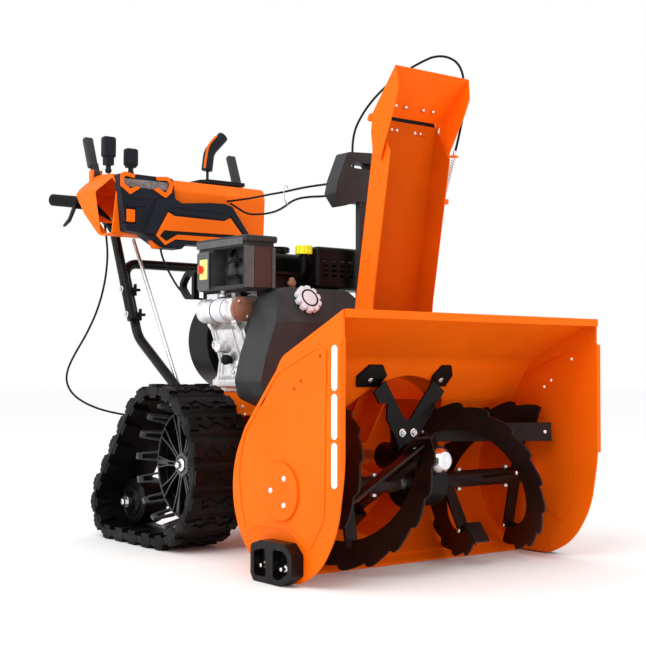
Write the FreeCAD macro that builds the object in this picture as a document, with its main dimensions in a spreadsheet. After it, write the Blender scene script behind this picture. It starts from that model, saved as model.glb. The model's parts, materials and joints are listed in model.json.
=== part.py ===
"""Two stage snowblower on tracks, as an assembly of separate sub-parts.

Machine frame while drawing: X to the operator's left, Y rearwards from the open front
of the auger housing, Z up from the ground.  Every node is shifted by dims.datum_y, so
the finished part has its origin on the ground under the middle of its bounding box.
"""

import FreeCAD, Part
import math
import os
import Sketcher

V = FreeCAD.Vector

SIZES = {
    "datum_y": -703.2,
    # auger housing
    "housing_half": 357,
    "housing_top": 529,
    "plate_thick": 4,
    "sheet_thick": 3,
    "shoe_half": 386,
    "auger_y": 196,
    "auger_z": 178,
    "auger_radius": 167,
    "ribbon_width": 58,
    "ribbon_turn": 240,
    "wrap_radius": 173,
    "shaft_radius": 14,
    # impeller
    "impeller_z": 228,
    "impeller_radius": 172,
    "drum_radius": 180,
    "drum_back": 484,
    "worm_shaft_radius": 12,
    # chute
    "chute_x": 97,
    "chute_y": 392,
    "chute_half": 92,
    "spout_radius": 91,
    "ring_z": 512,
    # tractor and tracks
    "frame_half": 152,
    "deck_z": 362,
    "axle_y": 735,
    "axle_z": 192,
    "belt_radius": 192,
    "belt_thick": 26,
    "belt_outside": 340,
    "belt_inside": 190,
    "idler_y": 959,
    "idler_z": 88,
    "idler_belt_radius": 88,
    "idler_radius": 57,
    "wheel_radius": 138,
    "prong_radius": 150,
    # engine
    "crank_z": 490,
    "shroud_radius": 128,
    # handles and console
    "tube_radius": 13,
    "lower_tube_x": 165,
    "upper_tube_x": 186,
    "console_half": 268,
    "fascia_front": 1092,
    "lever_y": 1200,
    "speed_lever_x": 97,
}

ORIGIN_PLANES = {"x": "YZ_Plane", "y": "XZ_Plane", "z": "XY_Plane"}
AXES = {"x": V(1, 0, 0), "y": V(0, 1, 0), "z": V(0, 0, 1)}
SIDES = (("left", 1), ("right", -1))
BRACE_ENDS = (-110, 92)
FLIGHT_START = {"left": 51, "right": 140}
RAKE_END = {"left": 125, "right": 199}
PIN_PLACES = (122, 268)
ROD_TOP = (-141, 1198, 772)
ROD_HEADING = (0, -0.525, -0.851)

doc = FreeCAD.newDocument("snowblower")
nodes = {}


def make_sheet():
    """The driving dimensions, one alias a row."""
    sheet = doc.addObject("Spreadsheet::Sheet", "dims")
    for row, (alias, number) in enumerate(SIZES.items(), start=1):
        sheet.set("A%d" % row, alias)
        sheet.set("B%d" % row, str(number))
        sheet.setAlias("B%d" % row, alias)
    doc.recompute()
    return sheet


sheet = make_sheet()


def size(alias):
    return float(sheet.get(alias))


def bind(thing, prop, amount):
    """Binds a property to a sheet expression, or to a plain number."""
    thing.setExpression(prop, str(amount))


def place(thing, corner):
    for letter, amount in zip("xyz", corner):
        bind(thing, "Placement.Base." + letter, amount)


def node(thing, name, y=0):
    """Names a finished sub-part and moves it from the machine frame to the part's."""
    thing.Label = name
    bind(thing, "Placement.Base.y", "dims.datum_y + (%s)" % (y or thing.Placement.Base.y))
    nodes[name] = thing
    return thing


# ---------------------------------------------------------------- primitives


def box(lengths, corner, turn=None):
    thing = doc.addObject("Part::Box", "Box")
    for prop, amount in zip(("Length", "Width", "Height"), lengths):
        bind(thing, prop, amount)
    if turn:
        thing.Placement = FreeCAD.Placement(V(), turn)
    place(thing, corner)
    return thing


def cylinder(radius, height, base, axis="z"):
    thing = doc.addObject("Part::Cylinder", "Cylinder")
    bind(thing, "Radius", radius)
    bind(thing, "Height", height)
    direction = AXES[axis] if isinstance(axis, str) else axis
    thing.Placement = FreeCAD.Placement(V(), FreeCAD.Rotation(V(0, 0, 1), direction))
    place(thing, base)
    return thing


def cone(radius_low, radius_high, height, base, axis="z"):
    thing = doc.addObject("Part::Cone", "Cone")
    bind(thing, "Radius1", radius_low)
    bind(thing, "Radius2", radius_high)
    bind(thing, "Height", height)
    thing.Placement = FreeCAD.Placement(V(), FreeCAD.Rotation(V(0, 0, 1), AXES[axis]))
    place(thing, base)
    return thing


def fuse(*pieces):
    if len(pieces) == 1:
        return pieces[0]
    thing = doc.addObject("Part::MultiFuse", "Fuse")
    thing.Shapes = list(pieces)
    return thing


def cut(base, *tools):
    thing = doc.addObject("Part::Cut", "Cut")
    thing.Base = base
    thing.Tool = fuse(*tools)
    return thing


def common(first, second):
    thing = doc.addObject("Part::Common", "Common")
    thing.Base = first
    thing.Tool = second
    return thing


def group(*pieces):
    """Separate solids in one node."""
    thing = doc.addObject("Part::Compound", "Group")
    thing.Links = list(pieces)
    return thing


def feature(shape):
    """A sub-part whose shape is worked out by code."""
    thing = doc.addObject("Part::Feature", "Shape")
    thing.Shape = shape
    return thing


def rounded_box(lengths, corner, radius, edges=range(1, 13)):
    thing = doc.addObject("Part::Fillet", "Rounded")
    thing.Base = box(lengths, corner)
    thing.Edges = [(edge, radius, radius) for edge in edges]
    return thing


# ---------------------------------------------------------------- outlines


def corner_parts(points, i):
    """Where the rounding of corner i starts and ends, with its centre and radius."""
    here = V(points[i][0], points[i][1], 0)
    radius = points[i][2] if len(points[i]) > 2 else 0
    if not radius:
        return here, here, None, 0
    before = V(*points[i - 1][:2], 0) - here
    after = V(*points[(i + 1) % len(points)][:2], 0) - here
    half = before.getAngle(after) / 2
    before.normalize()
    after.normalize()
    reach = radius / math.tan(half)
    bisector = before + after
    bisector.normalize()
    centre = here + bisector * (radius / math.sin(half))
    return here + before * reach, here + after * reach, centre, radius


def outline_edges(points):
    """Lines and corner arcs of a closed outline, each with its start and end index.

    A point is (u, v), or (u, v, r) for a corner rounded to radius r.
    """
    parts = [corner_parts(points, i) for i in range(len(points))]
    edges = []
    for i, (start, end, centre, radius) in enumerate(parts):
        if centre:
            first = math.atan2(start.y - centre.y, start.x - centre.x)
            last = math.atan2(end.y - centre.y, end.x - centre.x)
            counter = (start - centre).cross(end - centre).z > 0
            low, high = (first, last) if counter else (last, first)
            if high < low:
                high += 2 * math.pi
            circle = Part.Circle(centre, V(0, 0, 1), radius)
            arc = Part.ArcOfCircle(circle, low, high)
            edges.append((arc, 1, 2) if counter else (arc, 2, 1))
        following = parts[(i + 1) % len(parts)][0]
        if end.distanceToPoint(following) > 1e-6:
            edges.append((Part.LineSegment(end, following), 1, 2))
    return edges


def inset(points, distance, is_open=False):
    """The outline moved to its right by a distance, radii adjusted to match."""
    count = len(points)
    moved = []
    for i, point in enumerate(points):
        here = V(point[0], point[1], 0)
        normals = []
        for j in (i - 1, i):
            if is_open and (j < 0 or j == count - 1):
                continue
            run = V(*points[(j + 1) % count][:2], 0) - V(*points[j % count][:2], 0)
            run.normalize()
            normals.append(V(run.y, -run.x, 0))
        total = normals[0] + normals[-1]
        total = total * (2 / total.dot(total)) if len(normals) > 1 else normals[0]
        spot = here + total * distance
        if len(point) > 2:
            turn = normals[0].cross(normals[-1]).z
            radius = point[2] + (distance if turn > 0 else -distance)
            moved.append((spot.x, spot.y, max(radius, 0.5)))
        else:
            moved.append((spot.x, spot.y))
    return moved


def add_sketch(body, name, axis, start, outlines):
    """A sketch on the body's own origin plane, square to the axis, at a distance."""
    role = ORIGIN_PLANES[axis]
    plane = [item for item in body.Origin.OriginFeatures if item.Role == role][0]
    sketch = body.newObject("Sketcher::SketchObject", name)
    sketch.AttachmentSupport = (plane, [""])
    sketch.MapMode = "FlatFace"
    lift = -start if axis == "y" else start
    sketch.AttachmentOffset = FreeCAD.Placement(V(0, 0, lift), FreeCAD.Rotation())
    for outline in outlines:
        edges = outline_edges(outline)
        first = sketch.GeometryCount
        for edge, _, _ in edges:
            sketch.addGeometry(edge, False)
        for i, (_, _, tail) in enumerate(edges):
            j = (i + 1) % len(edges)
            joined = Sketcher.Constraint("Coincident", first + i, tail, first + j, edges[j][1])
            sketch.addConstraint(joined)
    return sketch


def prism(axis, start, length, *outlines):
    """A body padded from a closed outline; further outlines are holes through it.

    Outlines are (y, z) for axis x, (x, z) for axis y and (x, y) for axis z.
    """
    body = doc.addObject("PartDesign::Body", "Body")
    sketch = add_sketch(body, "Outline", axis, start, outlines)
    pad = body.newObject("PartDesign::Pad", "Pad")
    pad.Profile = sketch
    bind(pad, "Length", length)
    pad.Reversed = axis == "y"
    body.Tip = pad
    return body


def revolved(axis, centre, outline):
    """A body of revolution: outline points are (distance along the axis, radius)."""
    body = doc.addObject("PartDesign::Body", "Body")
    sketch = add_sketch(body, "Section", "z", 0, [outline])
    turned = body.newObject("PartDesign::Revolution", "Revolution")
    turned.Profile = sketch
    turned.ReferenceAxis = (sketch, ["H_Axis"])
    turned.Angle = 360
    body.Tip = turned
    rotation = FreeCAD.Rotation(V(1, 0, 0), AXES[axis])
    body.Placement = FreeCAD.Placement(V(), rotation)
    place(body, centre)
    return body


def circle_outline(u, v, radius):
    """A circle as four rounded corners."""
    r = radius
    return [(u - r, v - r, r), (u + r, v - r, r), (u + r, v + r, r), (u - r, v + r, r)]


# ---------------------------------------------------------------- bent tubes


def bent_wire(points, radii):
    """Straight runs joined by tangent arcs, as a wire."""
    edges = []
    last = V(*points[0])
    for i in range(1, len(points) - 1):
        here = V(*points[i])
        before = V(*points[i - 1]) - here
        after = V(*points[i + 1]) - here
        half = before.getAngle(after) / 2
        before.normalize()
        after.normalize()
        reach = radii[i - 1] / math.tan(half)
        bisector = before + after
        bisector.normalize()
        start = here + before * reach
        end = here + after * reach
        middle = here + bisector * (radii[i - 1] / math.sin(half) - radii[i - 1])
        edges.append(Part.LineSegment(last, start).toShape())
        edges.append(Part.Arc(start, middle, end).toShape())
        last = end
    edges.append(Part.LineSegment(last, V(*points[-1])).toShape())
    return Part.Wire(edges)


def cable_radii(points):
    """Arcs as large as their two runs allow."""
    radii = []
    for i in range(1, len(points) - 1):
        before = V(*points[i - 1]) - V(*points[i])
        after = V(*points[i + 1]) - V(*points[i])
        turn = math.pi - before.getAngle(after)
        radii.append(0.45 * min(before.Length, after.Length) / math.tan(turn / 2))
    return radii


def bent_tube(points, radii, radius, bore=0):
    wire = bent_wire(points, radii)
    start = V(*points[0])
    heading = V(*points[1]) - start
    rings = [Part.Wire(Part.Circle(start, heading, r).toShape()) for r in (radius, bore) if r]
    solids = [wire.makePipeShell([ring], True, False) for ring in rings]
    return solids[0].cut(solids[1]) if bore else solids[0]


def cable(name, points, radius):
    """A held cable along its route; reports its arcs and checks its volume."""
    radii = cable_radii(points)
    solid = bent_tube(points, radii, radius)
    length = bent_wire(points, radii).Length
    ratio = solid.Volume / (math.pi * radius ** 2 * length)
    print("%s: length %.0f, least radius %.0f, volume ratio %.4f" % (name, length, min(radii), ratio))
    return solid


# ---------------------------------------------------------------- auger housing


def wrap_path():
    """Outer face of the curved back sheet, from the top front lip down to the scraper."""
    high, low = math.radians(50), math.radians(-69)
    y, z, radius = size("auger_y"), size("auger_z"), size("wrap_radius")
    reach = radius / math.cos((high - low) / 2)
    middle = (high + low) / 2
    meet = (y + radius * math.cos(high), z + radius * math.sin(high))
    shoulder = (meet[0] - 66 * math.sin(high), meet[1] + 66 * math.cos(high), 60)
    corner = (y + reach * math.cos(middle), z + reach * math.sin(middle), radius)
    tail = (y + radius * math.cos(low), z + radius * math.sin(low))
    return [(2, size("housing_top")), (198, 442, 60), shoulder, corner, tail]


def housing_interior(distance, start, length):
    """The space in front of the curved sheet, as a solid."""
    path = inset(wrap_path(), distance, True)
    front = [(-60, path[-1][1]), (-60, path[0][1] + 40), (path[0][0], path[0][1] + 40)]
    return prism("x", start, length, path + front)


def make_auger_housing():
    sheet_thick = size("sheet_thick")
    outer = wrap_path()
    inner = inset(outer, sheet_thick, True)
    half = size("housing_half") - size("plate_thick")
    wrap = prism("x", -half, 2 * half, outer + inner[::-1])
    lip = prism("x", -half, 2 * half, [(-4, 514), (2, 514), (2, 530), (-4, 530)])
    mouth = cylinder("dims.drum_radius - 3", 400, (0, 190, "dims.impeller_z"), "y")
    return node(cut(fuse(wrap, lip), mouth), "auger_housing")


def plate_outline():
    back = wrap_path()
    bottom = [(222, 3, 8), (139, 3, 90), (72, 36, 150), (20, 114, 200), (0, 230, 400)]
    return back[:-1] + bottom + [(0, 475), (3, 479)]


def square_hole(y, z, half):
    return [(y - half, z), (y, z - half), (y + half, z), (y, z + half)]


def bead_outline():
    """Path of the pressed bead that stiffens a side plate and steps over its skid shoe."""
    front = [(51, 456, 12), (80, 466, 14), (212, 417, 60), (333, 289, 100), (354, 205, 150)]
    return front + [(342, 135, 50), (322, 86, 12), (268, 105, 30), (178, 106, 24), (148, 92, 14),
                    (104, 70, 16), (57, 136, 50)]


def make_side_plate(side, sign):
    """Plate with a bead that stands out on its outer face and is hollow on its inner one."""
    thick, half, press = size("plate_thick"), size("housing_half"), 1.8
    start = sign * half - (thick if sign > 0 else 0)
    holes = [square_hole(y, z, 5) for y, z in ((73, 443), (134, 395), (155, 380))]
    hub = circle_outline(size("auger_y"), size("auger_z"), 24)
    plate = prism("x", start, "dims.plate_thick", plate_outline(), hub, *holes)
    bead, inner_bead = bead_outline(), inset(bead_outline(), 8)
    ridge = prism("x", half if sign > 0 else -half - press, press, bead, inner_bead)
    channel_start = half - thick if sign > 0 else -half + thick - press
    channel = prism("x", channel_start, press, inset(bead, 1.5), inset(bead, 6.5))
    lip_start = half if sign > 0 else -half - 8
    lip = prism("x", lip_start, 8, [(0, 238), (4, 238), (4, 474), (0, 474)])
    return node(cut(fuse(plate, ridge, lip), channel), "side_plate_" + side)


def make_scraper_bar():
    low = math.radians(-69)
    along = V(math.sin(low), -math.cos(low), 0)
    out = V(math.cos(low), math.sin(low), 0)
    tail = V(*wrap_path()[-1][:2], 0)
    corners = [tail - along * 9, tail + along * 33, tail + along * 33 + out * 4]
    corners.append(tail - along * 9 + out * 4)
    half = size("housing_half") - size("plate_thick") - 1
    bar = prism("x", -half, 2 * half, [(p.x, p.y) for p in corners])
    return node(bar, "scraper_bar")


def make_skid_shoes():
    outline = [(122, 22, 8), (160, 0, 30), (250, 0, 12), (261, 14, 10), (261, 72, 10)]
    outline += [(224, 83, 12), (146, 83, 14), (122, 62, 12)]
    windows = [
        [(136, 27, 6), (164, 12, 6), (184, 12, 6), (184, 68, 6), (150, 68, 8), (136, 56, 6)],
        [(208, 12, 6), (248, 12, 6), (249, 60, 6), (212, 68, 6)],
    ]
    shoes = []
    for _, sign in SIDES:
        half = size("housing_half")
        shoe = prism("x", sign * half if sign > 0 else -size("shoe_half"), size("shoe_half") - half, outline)
        start = half + 6 if sign > 0 else -size("shoe_half") - 1
        pockets = [prism("x", start, size("shoe_half") - half - 5, window) for window in windows]
        shoes.append(cut(shoe, *pockets))
    return node(group(*shoes), "skid_shoes")


def bolt(position, direction, radius=6.5, height=5):
    """A domed bolt head on a washer."""
    direction = V(*direction)
    position = V(*position)
    washer = Part.makeCylinder(radius * 1.35, 1.6, position, direction)
    direction.normalize()
    head = Part.makeCylinder(radius, height, position + direction * 1.6, direction)
    return washer.fuse(head)


def wall_point(z):
    """The inner face of the sloped upper wall at a height, and its outward normal."""
    path = wrap_path()
    top, low = V(*path[1][:2], 0), V(*path[2][:2], 0)
    run = low - top
    share = (z - top.y) / run.y
    run.normalize()
    normal = V(-run.y, run.x, 0)
    spot = top + (low - top) * share - normal * size("sheet_thick")
    return spot, normal


def make_frame_fasteners():
    bolts = []
    hubs = [(size("auger_y") + 30 * math.cos(a), size("auger_z") + 30 * math.sin(a))
            for a in (0, math.radians(120), math.radians(240))]
    for _, sign in SIDES:
        face = sign * (size("housing_half") + 5)
        bolts += [bolt((face, y, z), (sign, 0, 0), 5, 3) for y, z in hubs]
        face = sign * (size("housing_half") + 6)
        bolts += [bolt((face, y, 32), (sign, 0, 0), 7, 9) for y in (164, 232)]
        face = sign * (size("upper_tube_x") + size("tube_radius"))
        bolts += [bolt((face, y, z), (sign, 0, 0), 6, 4) for y, z in ((1125, 563), (1154, 631))]
    for x in BRACE_ENDS:
        spot, normal = wall_point(406)
        spot = spot - normal * 5.2
        bolts.append(bolt((x, spot.x, spot.y), (0, -normal.x, -normal.y), 8, 6))
    for x in (-24, 8):
        bolts.append(bolt((x, 217, 282), (0, -1, 0), 7, 5))
    bolts.append(bolt((-176, 486.8, 352), (0, -1, 0), 7, 4))
    return node(feature(Part.makeCompound(bolts)), "frame_fasteners")


def make_reflector_strips():
    strips = []
    for _, sign in SIDES:
        start = sign * size("housing_half") - (1 if sign < 0 else 0)
        for low, high in ((378, 463), (287, 372), (196, 281)):
            outline = [(19, low, 8.4), (36, low, 8.4), (36, high, 8.4), (19, high, 8.4)]
            strips.append(prism("x", start, 1, outline))
    return node(group(*strips), "reflector_strips")


def make_auger_bearings():
    flanges = []
    for _, sign in SIDES:
        half = size("housing_half")
        inner_start = half - 39 if sign > 0 else -half - 5
        hub = cylinder(23.9, 39, (inner_start if sign > 0 else -half, "dims.auger_y", "dims.auger_z"), "x")
        disc_start = half if sign > 0 else -half - 5
        disc = cylinder(58, 5, (disc_start, "dims.auger_y", "dims.auger_z"), "x")
        bore_start = half - 40 if sign > 0 else -half - 3
        bore = cylinder(14.05, 43, (bore_start, "dims.auger_y", "dims.auger_z"), "x")
        flanges.append(cut(fuse(hub, disc), bore))
    return node(group(*flanges), "auger_bearings")


# ---------------------------------------------------------------- auger and impeller


def make_gearcase():
    ay, az, wz = "dims.auger_y", "dims.auger_z", "dims.impeller_z"
    case = cylinder(52, 84, (-42, ay, az), "x")
    neck = cylinder(30, 180, (0, 124, wz), "y")
    saddle = box((56, 26, 34), (-28, 225, 246))
    nose = cone(22, 17, 16, (0, 124, wz), "y")
    nose.Placement.Rotation = FreeCAD.Rotation(V(0, 0, 1), V(0, -1, 0))
    hollow = cylinder(44, 66, (-33, ay, az), "x")
    tunnel = cylinder(19, 150, (0, 140, wz), "y")
    auger_bore = cylinder("dims.shaft_radius + 0.05", 90, (-45, ay, az), "x")
    worm_bore = cylinder("dims.worm_shaft_radius + 0.05", 200, (0, 135, wz), "y")
    return node(cut(fuse(case, neck, saddle, nose), hollow, tunnel, auger_bore, worm_bore), "gearcase")


def make_gearcase_brace():
    """Two arms with six-sided ends up to the sloped wall, relieved where the flights pass."""
    spot, normal = wall_point(406)
    seat = spot - normal * 0.1
    pads = []
    hexagon = [V(40, 0, 4), V(18, 0, 29), V(-18, 0, 29), V(-40, 0, 0), V(-30, 0, -25), V(30, 0, -25)]
    tilt = FreeCAD.Rotation(V(0, 1, 0), V(0, normal.x, normal.y))
    for x in BRACE_ENDS:
        centre = V(x, seat.x, seat.y)
        reach = 0.72 if x > 0 else 1.0
        ring = [centre + tilt.multVec(V(p.x * reach, 0, p.z)) for p in hexagon]
        pad = Part.Face(Part.makePolygon(ring + ring[:1]))
        pads.append(pad.extrude(V(0, -normal.x, -normal.y) * 5))
    arms = []
    for end in BRACE_ENDS:
        low = V(-8 + 0.1 * end, 224, 278)
        high = V(end * 0.84, seat.x - 4, seat.y - 22)
        along = high - low
        across = V(0, 1, 0).cross(along)
        across.normalize()
        corners = [low + across * 21, low - across * 21, high - across * 20, high + across * 20]
        face = Part.Face(Part.makePolygon(corners + corners[:1]))
        arms.append(face.extrude(V(0, -5, 0)))
    hub = Part.makeBox(60, 6, 52, V(-38, 218.5, 258.5))
    saddle = Part.makeBox(56, 30, 6, V(-30, 222, 280.2))
    sweep = size("auger_radius") + 2
    reliefs = [Part.makeCylinder(sweep, 62, ring_point(x, 0, 0), V(1, 0, 0)) for x in (-130, 68)]
    shape = hub.fuse(arms + pads + [saddle]).cut(reliefs).removeSplitter()
    return node(feature(shape), "gearcase_brace")


def ring_point(x, radius, angle):
    """A point at a radius and angle about the auger's axis."""
    y = size("auger_y") + radius * math.cos(angle)
    z = size("auger_z") + radius * math.sin(angle)
    return V(x, y, z)


def ribbon(x_start, x_end, angle_start, angle_end, steps):
    """A helical ribbon as a ruled loft of rectangles."""
    outer = size("auger_radius")
    inner = outer - size("ribbon_width")
    sections = []
    for i in range(steps + 1):
        share = i / steps
        x = x_start + (x_end - x_start) * share
        angle = angle_start + (angle_end - angle_start) * share
        corners = [ring_point(x - 2, inner, angle), ring_point(x + 2, inner, angle)]
        corners += [ring_point(x + 2, outer, angle), ring_point(x - 2, outer, angle)]
        sections.append(Part.makePolygon(corners + corners[:1]))
    return Part.makeLoft(sections, True, True)


def radial_bar(x, angle, width, inner, outer, thick):
    """A flat bar standing out from the auger's axis."""
    bar = Part.makeBox(width, outer - inner, thick, V(x - width / 2, inner, -thick / 2))
    bar.rotate(V(), V(1, 0, 0), math.degrees(angle))
    bar.translate(V(0, size("auger_y"), size("auger_z")))
    return bar


def rake_bar(sign, start, end, radius):
    """A straight flat bar from one flight's inner end to the other flight's outer end."""
    low, high = ring_point(sign * 84, radius, start), ring_point(sign * 332, radius, end)
    along = high - low
    middle = ring_point(0, 0, 0)
    out = (low + high) * 0.5 - V(sign * 192, middle.y, middle.z)
    across = out - along * (out.dot(along) / along.dot(along))
    across.normalize()
    corners = [low - across * 34, low + across * 8, high + across * 8, high - across * 34]
    face = Part.Face(Part.makePolygon(corners + corners[:1]))
    thickness = along.cross(across)
    thickness.normalize()
    return face.extrude(thickness * 6)


def make_auger(side, sign):
    """Pipe, two flights with spokes and paddles, and a rake bar between the flights."""
    near, far = 72, 322
    axis_start = V(60 if sign > 0 else -316, size("auger_y"), size("auger_z"))
    pipe = Part.makeCylinder(18.5, 256, axis_start, V(1, 0, 0))
    pieces = []
    turn = math.radians(size("ribbon_turn"))
    first = math.radians(FLIGHT_START[side])
    for start in (first, first + math.pi):
        end = start + turn
        pieces.append(ribbon(sign * near, sign * far, start, end, 14))
        for share in (0.04, 0.5, 0.96):
            x = sign * (near + (far - near) * share)
            pieces.append(radial_bar(min(max(x, -301), 301), start + turn * share, 30, 16, 122, 7))
        pieces.append(radial_bar(sign * (near + 22), start, 44, 112, 160, 6))
    pieces.append(rake_bar(sign, first + 0.06, math.radians(RAKE_END[side]), 139))
    bores = [Part.makeCylinder(14.0, 300, axis_start - V(20, 0, 0), V(1, 0, 0))]
    for x in PIN_PLACES:
        foot = V(sign * x, size("auger_y"), size("auger_z") - 30)
        bores.append(Part.makeCylinder(4, 60, foot))
    shape = pipe.fuse(pieces).cut(bores)
    return node(feature(shape), "auger_" + side)


def make_auger_shaft():
    span = 2 * size("housing_half") - 12
    shaft = cylinder("dims.shaft_radius", span, (-span / 2, "dims.auger_y", "dims.auger_z"), "x")
    low, high = size("auger_z") - 19, size("auger_z") + 19
    places = [sign * x for x in PIN_PLACES for sign in (-1, 1)]
    pins = [cylinder(3.95, high - low, (x, "dims.auger_y", low), "z") for x in places]
    heads = [cylinder(7, 5, (x, "dims.auger_y", z), "z") for x in places for z in (low - 5, high)]
    return node(fuse(shaft, *pins, *heads), "auger_shaft")


def make_worm_wheel():
    teeth = 20
    wheel = Part.makeCylinder(33, 24, V(-12, 0, 0), V(1, 0, 0))
    tooth = Part.makeBox(22, 8, 5, V(-11, 28, -2.5))
    for i in range(teeth):
        one = tooth.copy()
        one.rotate(V(), V(1, 0, 0), 360 * (i + 0.5) / teeth)
        wheel = wheel.fuse(one)
    hub = Part.makeCylinder(22, 44, V(-22, 0, 0), V(1, 0, 0))
    shape = wheel.fuse(hub).cut(Part.makeCylinder(14.0, 60, V(-30, 0, 0), V(1, 0, 0)))
    shape.translate(V(0, size("auger_y"), size("auger_z")))
    return node(feature(shape), "worm_wheel")


def make_impeller_shaft():
    """Worm, shaft and the two-part sheave on its rear end."""
    shaft = cylinder("dims.worm_shaft_radius", 413, (0, 137, "dims.impeller_z"), "y")
    worm = cylinder(13.2, 60, (0, 166, "dims.impeller_z"), "y")
    sheave = [(501, 12), (523, 12), (523, 114), (516, 98), (508, 98), (501, 114)]
    wheel = revolved("y", (0, 0, "dims.impeller_z"), sheave)
    return node(fuse(shaft, worm, wheel), "impeller_shaft")


def make_impeller():
    """Hub with four cupped blades."""
    hub = Part.makeCylinder(24, 84, V(0, 374, 0), V(0, 1, 0))
    shape = hub
    for i in range(4):
        blade = Part.makeBox(150, 74, 5, V(18, 380, -2.5))
        tip = Part.makeBox(6, 74, 34, V(160, 380, -2))
        gusset = Part.makeBox(140, 5, 40, V(18, 450, -20))
        arm = blade.fuse([tip, gusset])
        arm.rotate(V(), V(0, 1, 0), 90 * i + 30)
        shape = shape.fuse(arm)
    limit = Part.makeCylinder(size("impeller_radius"), 120, V(0, 360, 0), V(0, 1, 0))
    bore = Part.makeCylinder(size("worm_shaft_radius"), 120, V(0, 360, 0), V(0, 1, 0))
    shape = shape.common(limit).cut(bore)
    shape.translate(V(0, 0, size("impeller_z")))
    return node(feature(shape), "impeller")


def make_impeller_housing():
    """Drum behind the round opening, with the spout and ring that carry the chute."""
    wz, back = "dims.impeller_z", size("drum_back")
    drum = cylinder("dims.drum_radius + 3", back - 200, (0, 200, wz), "y")
    spout = cylinder("dims.spout_radius", 172, ("dims.chute_x", "dims.chute_y", 340), "z")
    ring = cylinder(106, 6, ("dims.chute_x", "dims.chute_y", "dims.ring_z - 6"), "z")
    outside = fuse(drum, spout, ring)
    drum_hollow = cylinder("dims.drum_radius", back - 203, (0, 200, wz), "y")
    spout_hollow = cylinder("dims.spout_radius - 3", 170, ("dims.chute_x", "dims.chute_y", 350), "z")
    bearing = cylinder("dims.worm_shaft_radius + 0.05", 60, (0, 450, wz), "y")
    interior = housing_interior(0, -300, 600)
    return node(cut(outside, drum_hollow, spout_hollow, bearing, interior), "impeller_housing")


# ---------------------------------------------------------------- chute


def chute_profile():
    """Side wall of the channel, (y, z), from the ring up to the hinge."""
    base = size("ring_z") + 6
    return [(356, base), (350, 580, 40), (292, 905, 6), (340, 986), (422, base)]


def make_chute():
    x, y, half = size("chute_x"), size("chute_y"), size("chute_half")
    wall = 2.5
    channel = prism("x", x - half, 2 * half, chute_profile())
    base = size("ring_z") + 6
    hollow_outline = [(422 - wall, base - 1), (340 - wall, 987), (340, 1040), (150, 1040), (150, base - 1)]
    hollow = prism("x", x - half + wall, 2 * (half - wall), hollow_outline)
    ring = cylinder(104, 5.7, (x, y, "dims.ring_z + 0.3"), "z")
    spigot = cylinder("dims.spout_radius - 4", 32, (x, y, "dims.ring_z - 26"), "z")
    mouth = cylinder("dims.spout_radius - 7", 60, (x, y, "dims.ring_z - 30"), "z")
    bands = [prism("x", x - half - 1.2, 1.2, [(362, 664), (392, 664), (388, 686), (358, 686)])]
    knuckles = [cylinder(7, 24, (x + k, 349.5, 986), "x") for k in (-62, 38)]
    pin_bores = [cylinder(4.05, 40, (x + k - 8, 349.5, 986), "x") for k in (-62, 38)]
    leaves = [box((24, 9, 24), (x + k, 338, 962)) for k in (-62, 38)]
    tab = prism("x", x + half, 23, [(322, 806), (340, 806), (340, 818), (322, 818)])
    bolts = [cylinder(4.5, 3, (x + k, 346.5, 962), V(0, -1, 0)) for k in (-46, -30, 26, 42)]
    solid = fuse(cut(channel, hollow), ring, spigot, tab, *bands, *leaves, *knuckles, *bolts)
    return node(cut(solid, mouth, *pin_bores), "chute")


def make_chute_deflector():
    """Hood with two side walls outside the chute's, turning on a rod behind the hinge."""
    x = size("chute_x")
    outline = [(345, 952), (343, 915), (318, 886), (300, 927), (258, 1005), (244, 1040), (250, 1086)]
    outline.append((337, 994))
    walls = []
    for sign in (-1, 1):
        loop = [V(0, y, z) for y, z in outline]
        plate = Part.Face(Part.makePolygon(loop + loop[:1])).extrude(V(2.5, 0, 0))
        if sign < 0:
            plate.translate(V(-2.5, 0, 0))
        plate.translate(V(x + sign * 97, 0, 0))
        plate.rotate(V(x + sign * 97, 0, 905), V(0, 1, 0), sign * 4)
        walls.append(plate)
    low, high = V(0, 336, 994), V(0, 249.5, 1086)
    corners = [V(x - 104.5, low.y, low.z), V(x + 104.5, low.y, low.z)]
    corners += [V(x + 111, high.y, high.z), V(x - 111, high.y, high.z)]
    back = Part.Face(Part.makePolygon(corners + corners[:1])).extrude(V(0, 1.8, 1.7))
    rod = Part.makeCylinder(4, 209, V(x - 104.5, 349.5, 986), V(1, 0, 0))
    lugs = [Part.makeBox(11, 18, 8, V(x + k, 334, 988)) for k in (-104, 93)]
    hoops = [Part.makeCylinder(7, 11, V(x + k, 349.5, 986), V(1, 0, 0)) for k in (-104, 93)]
    tab = Part.makeBox(20, 14, 4, V(x + 97, 290, 912))
    shape = walls[0].fuse([walls[1], back, rod, tab] + lugs + hoops)
    return node(feature(shape), "chute_deflector")


def make_deflector_cable():
    """From the tower head over the hood and down to the spring on the chute's side."""
    points = [(118, 560, 905), (122, 580, 985), (140, 545, 1060), (165, 480, 1118), (188, 405, 1152)]
    points += [(205, 335, 1163), (214, 280, 1130), (216, 270, 1060), (212, 277, 985), (206, 296, 918)]
    sheath = cable("deflector_cable", points, 3)
    spring = Part.makeCylinder(4.5, 94, V(206, 299, 909), V(0, 0.36, -0.933))
    return node(feature(Part.makeCompound([sheath, spring])), "deflector_cable")


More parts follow.
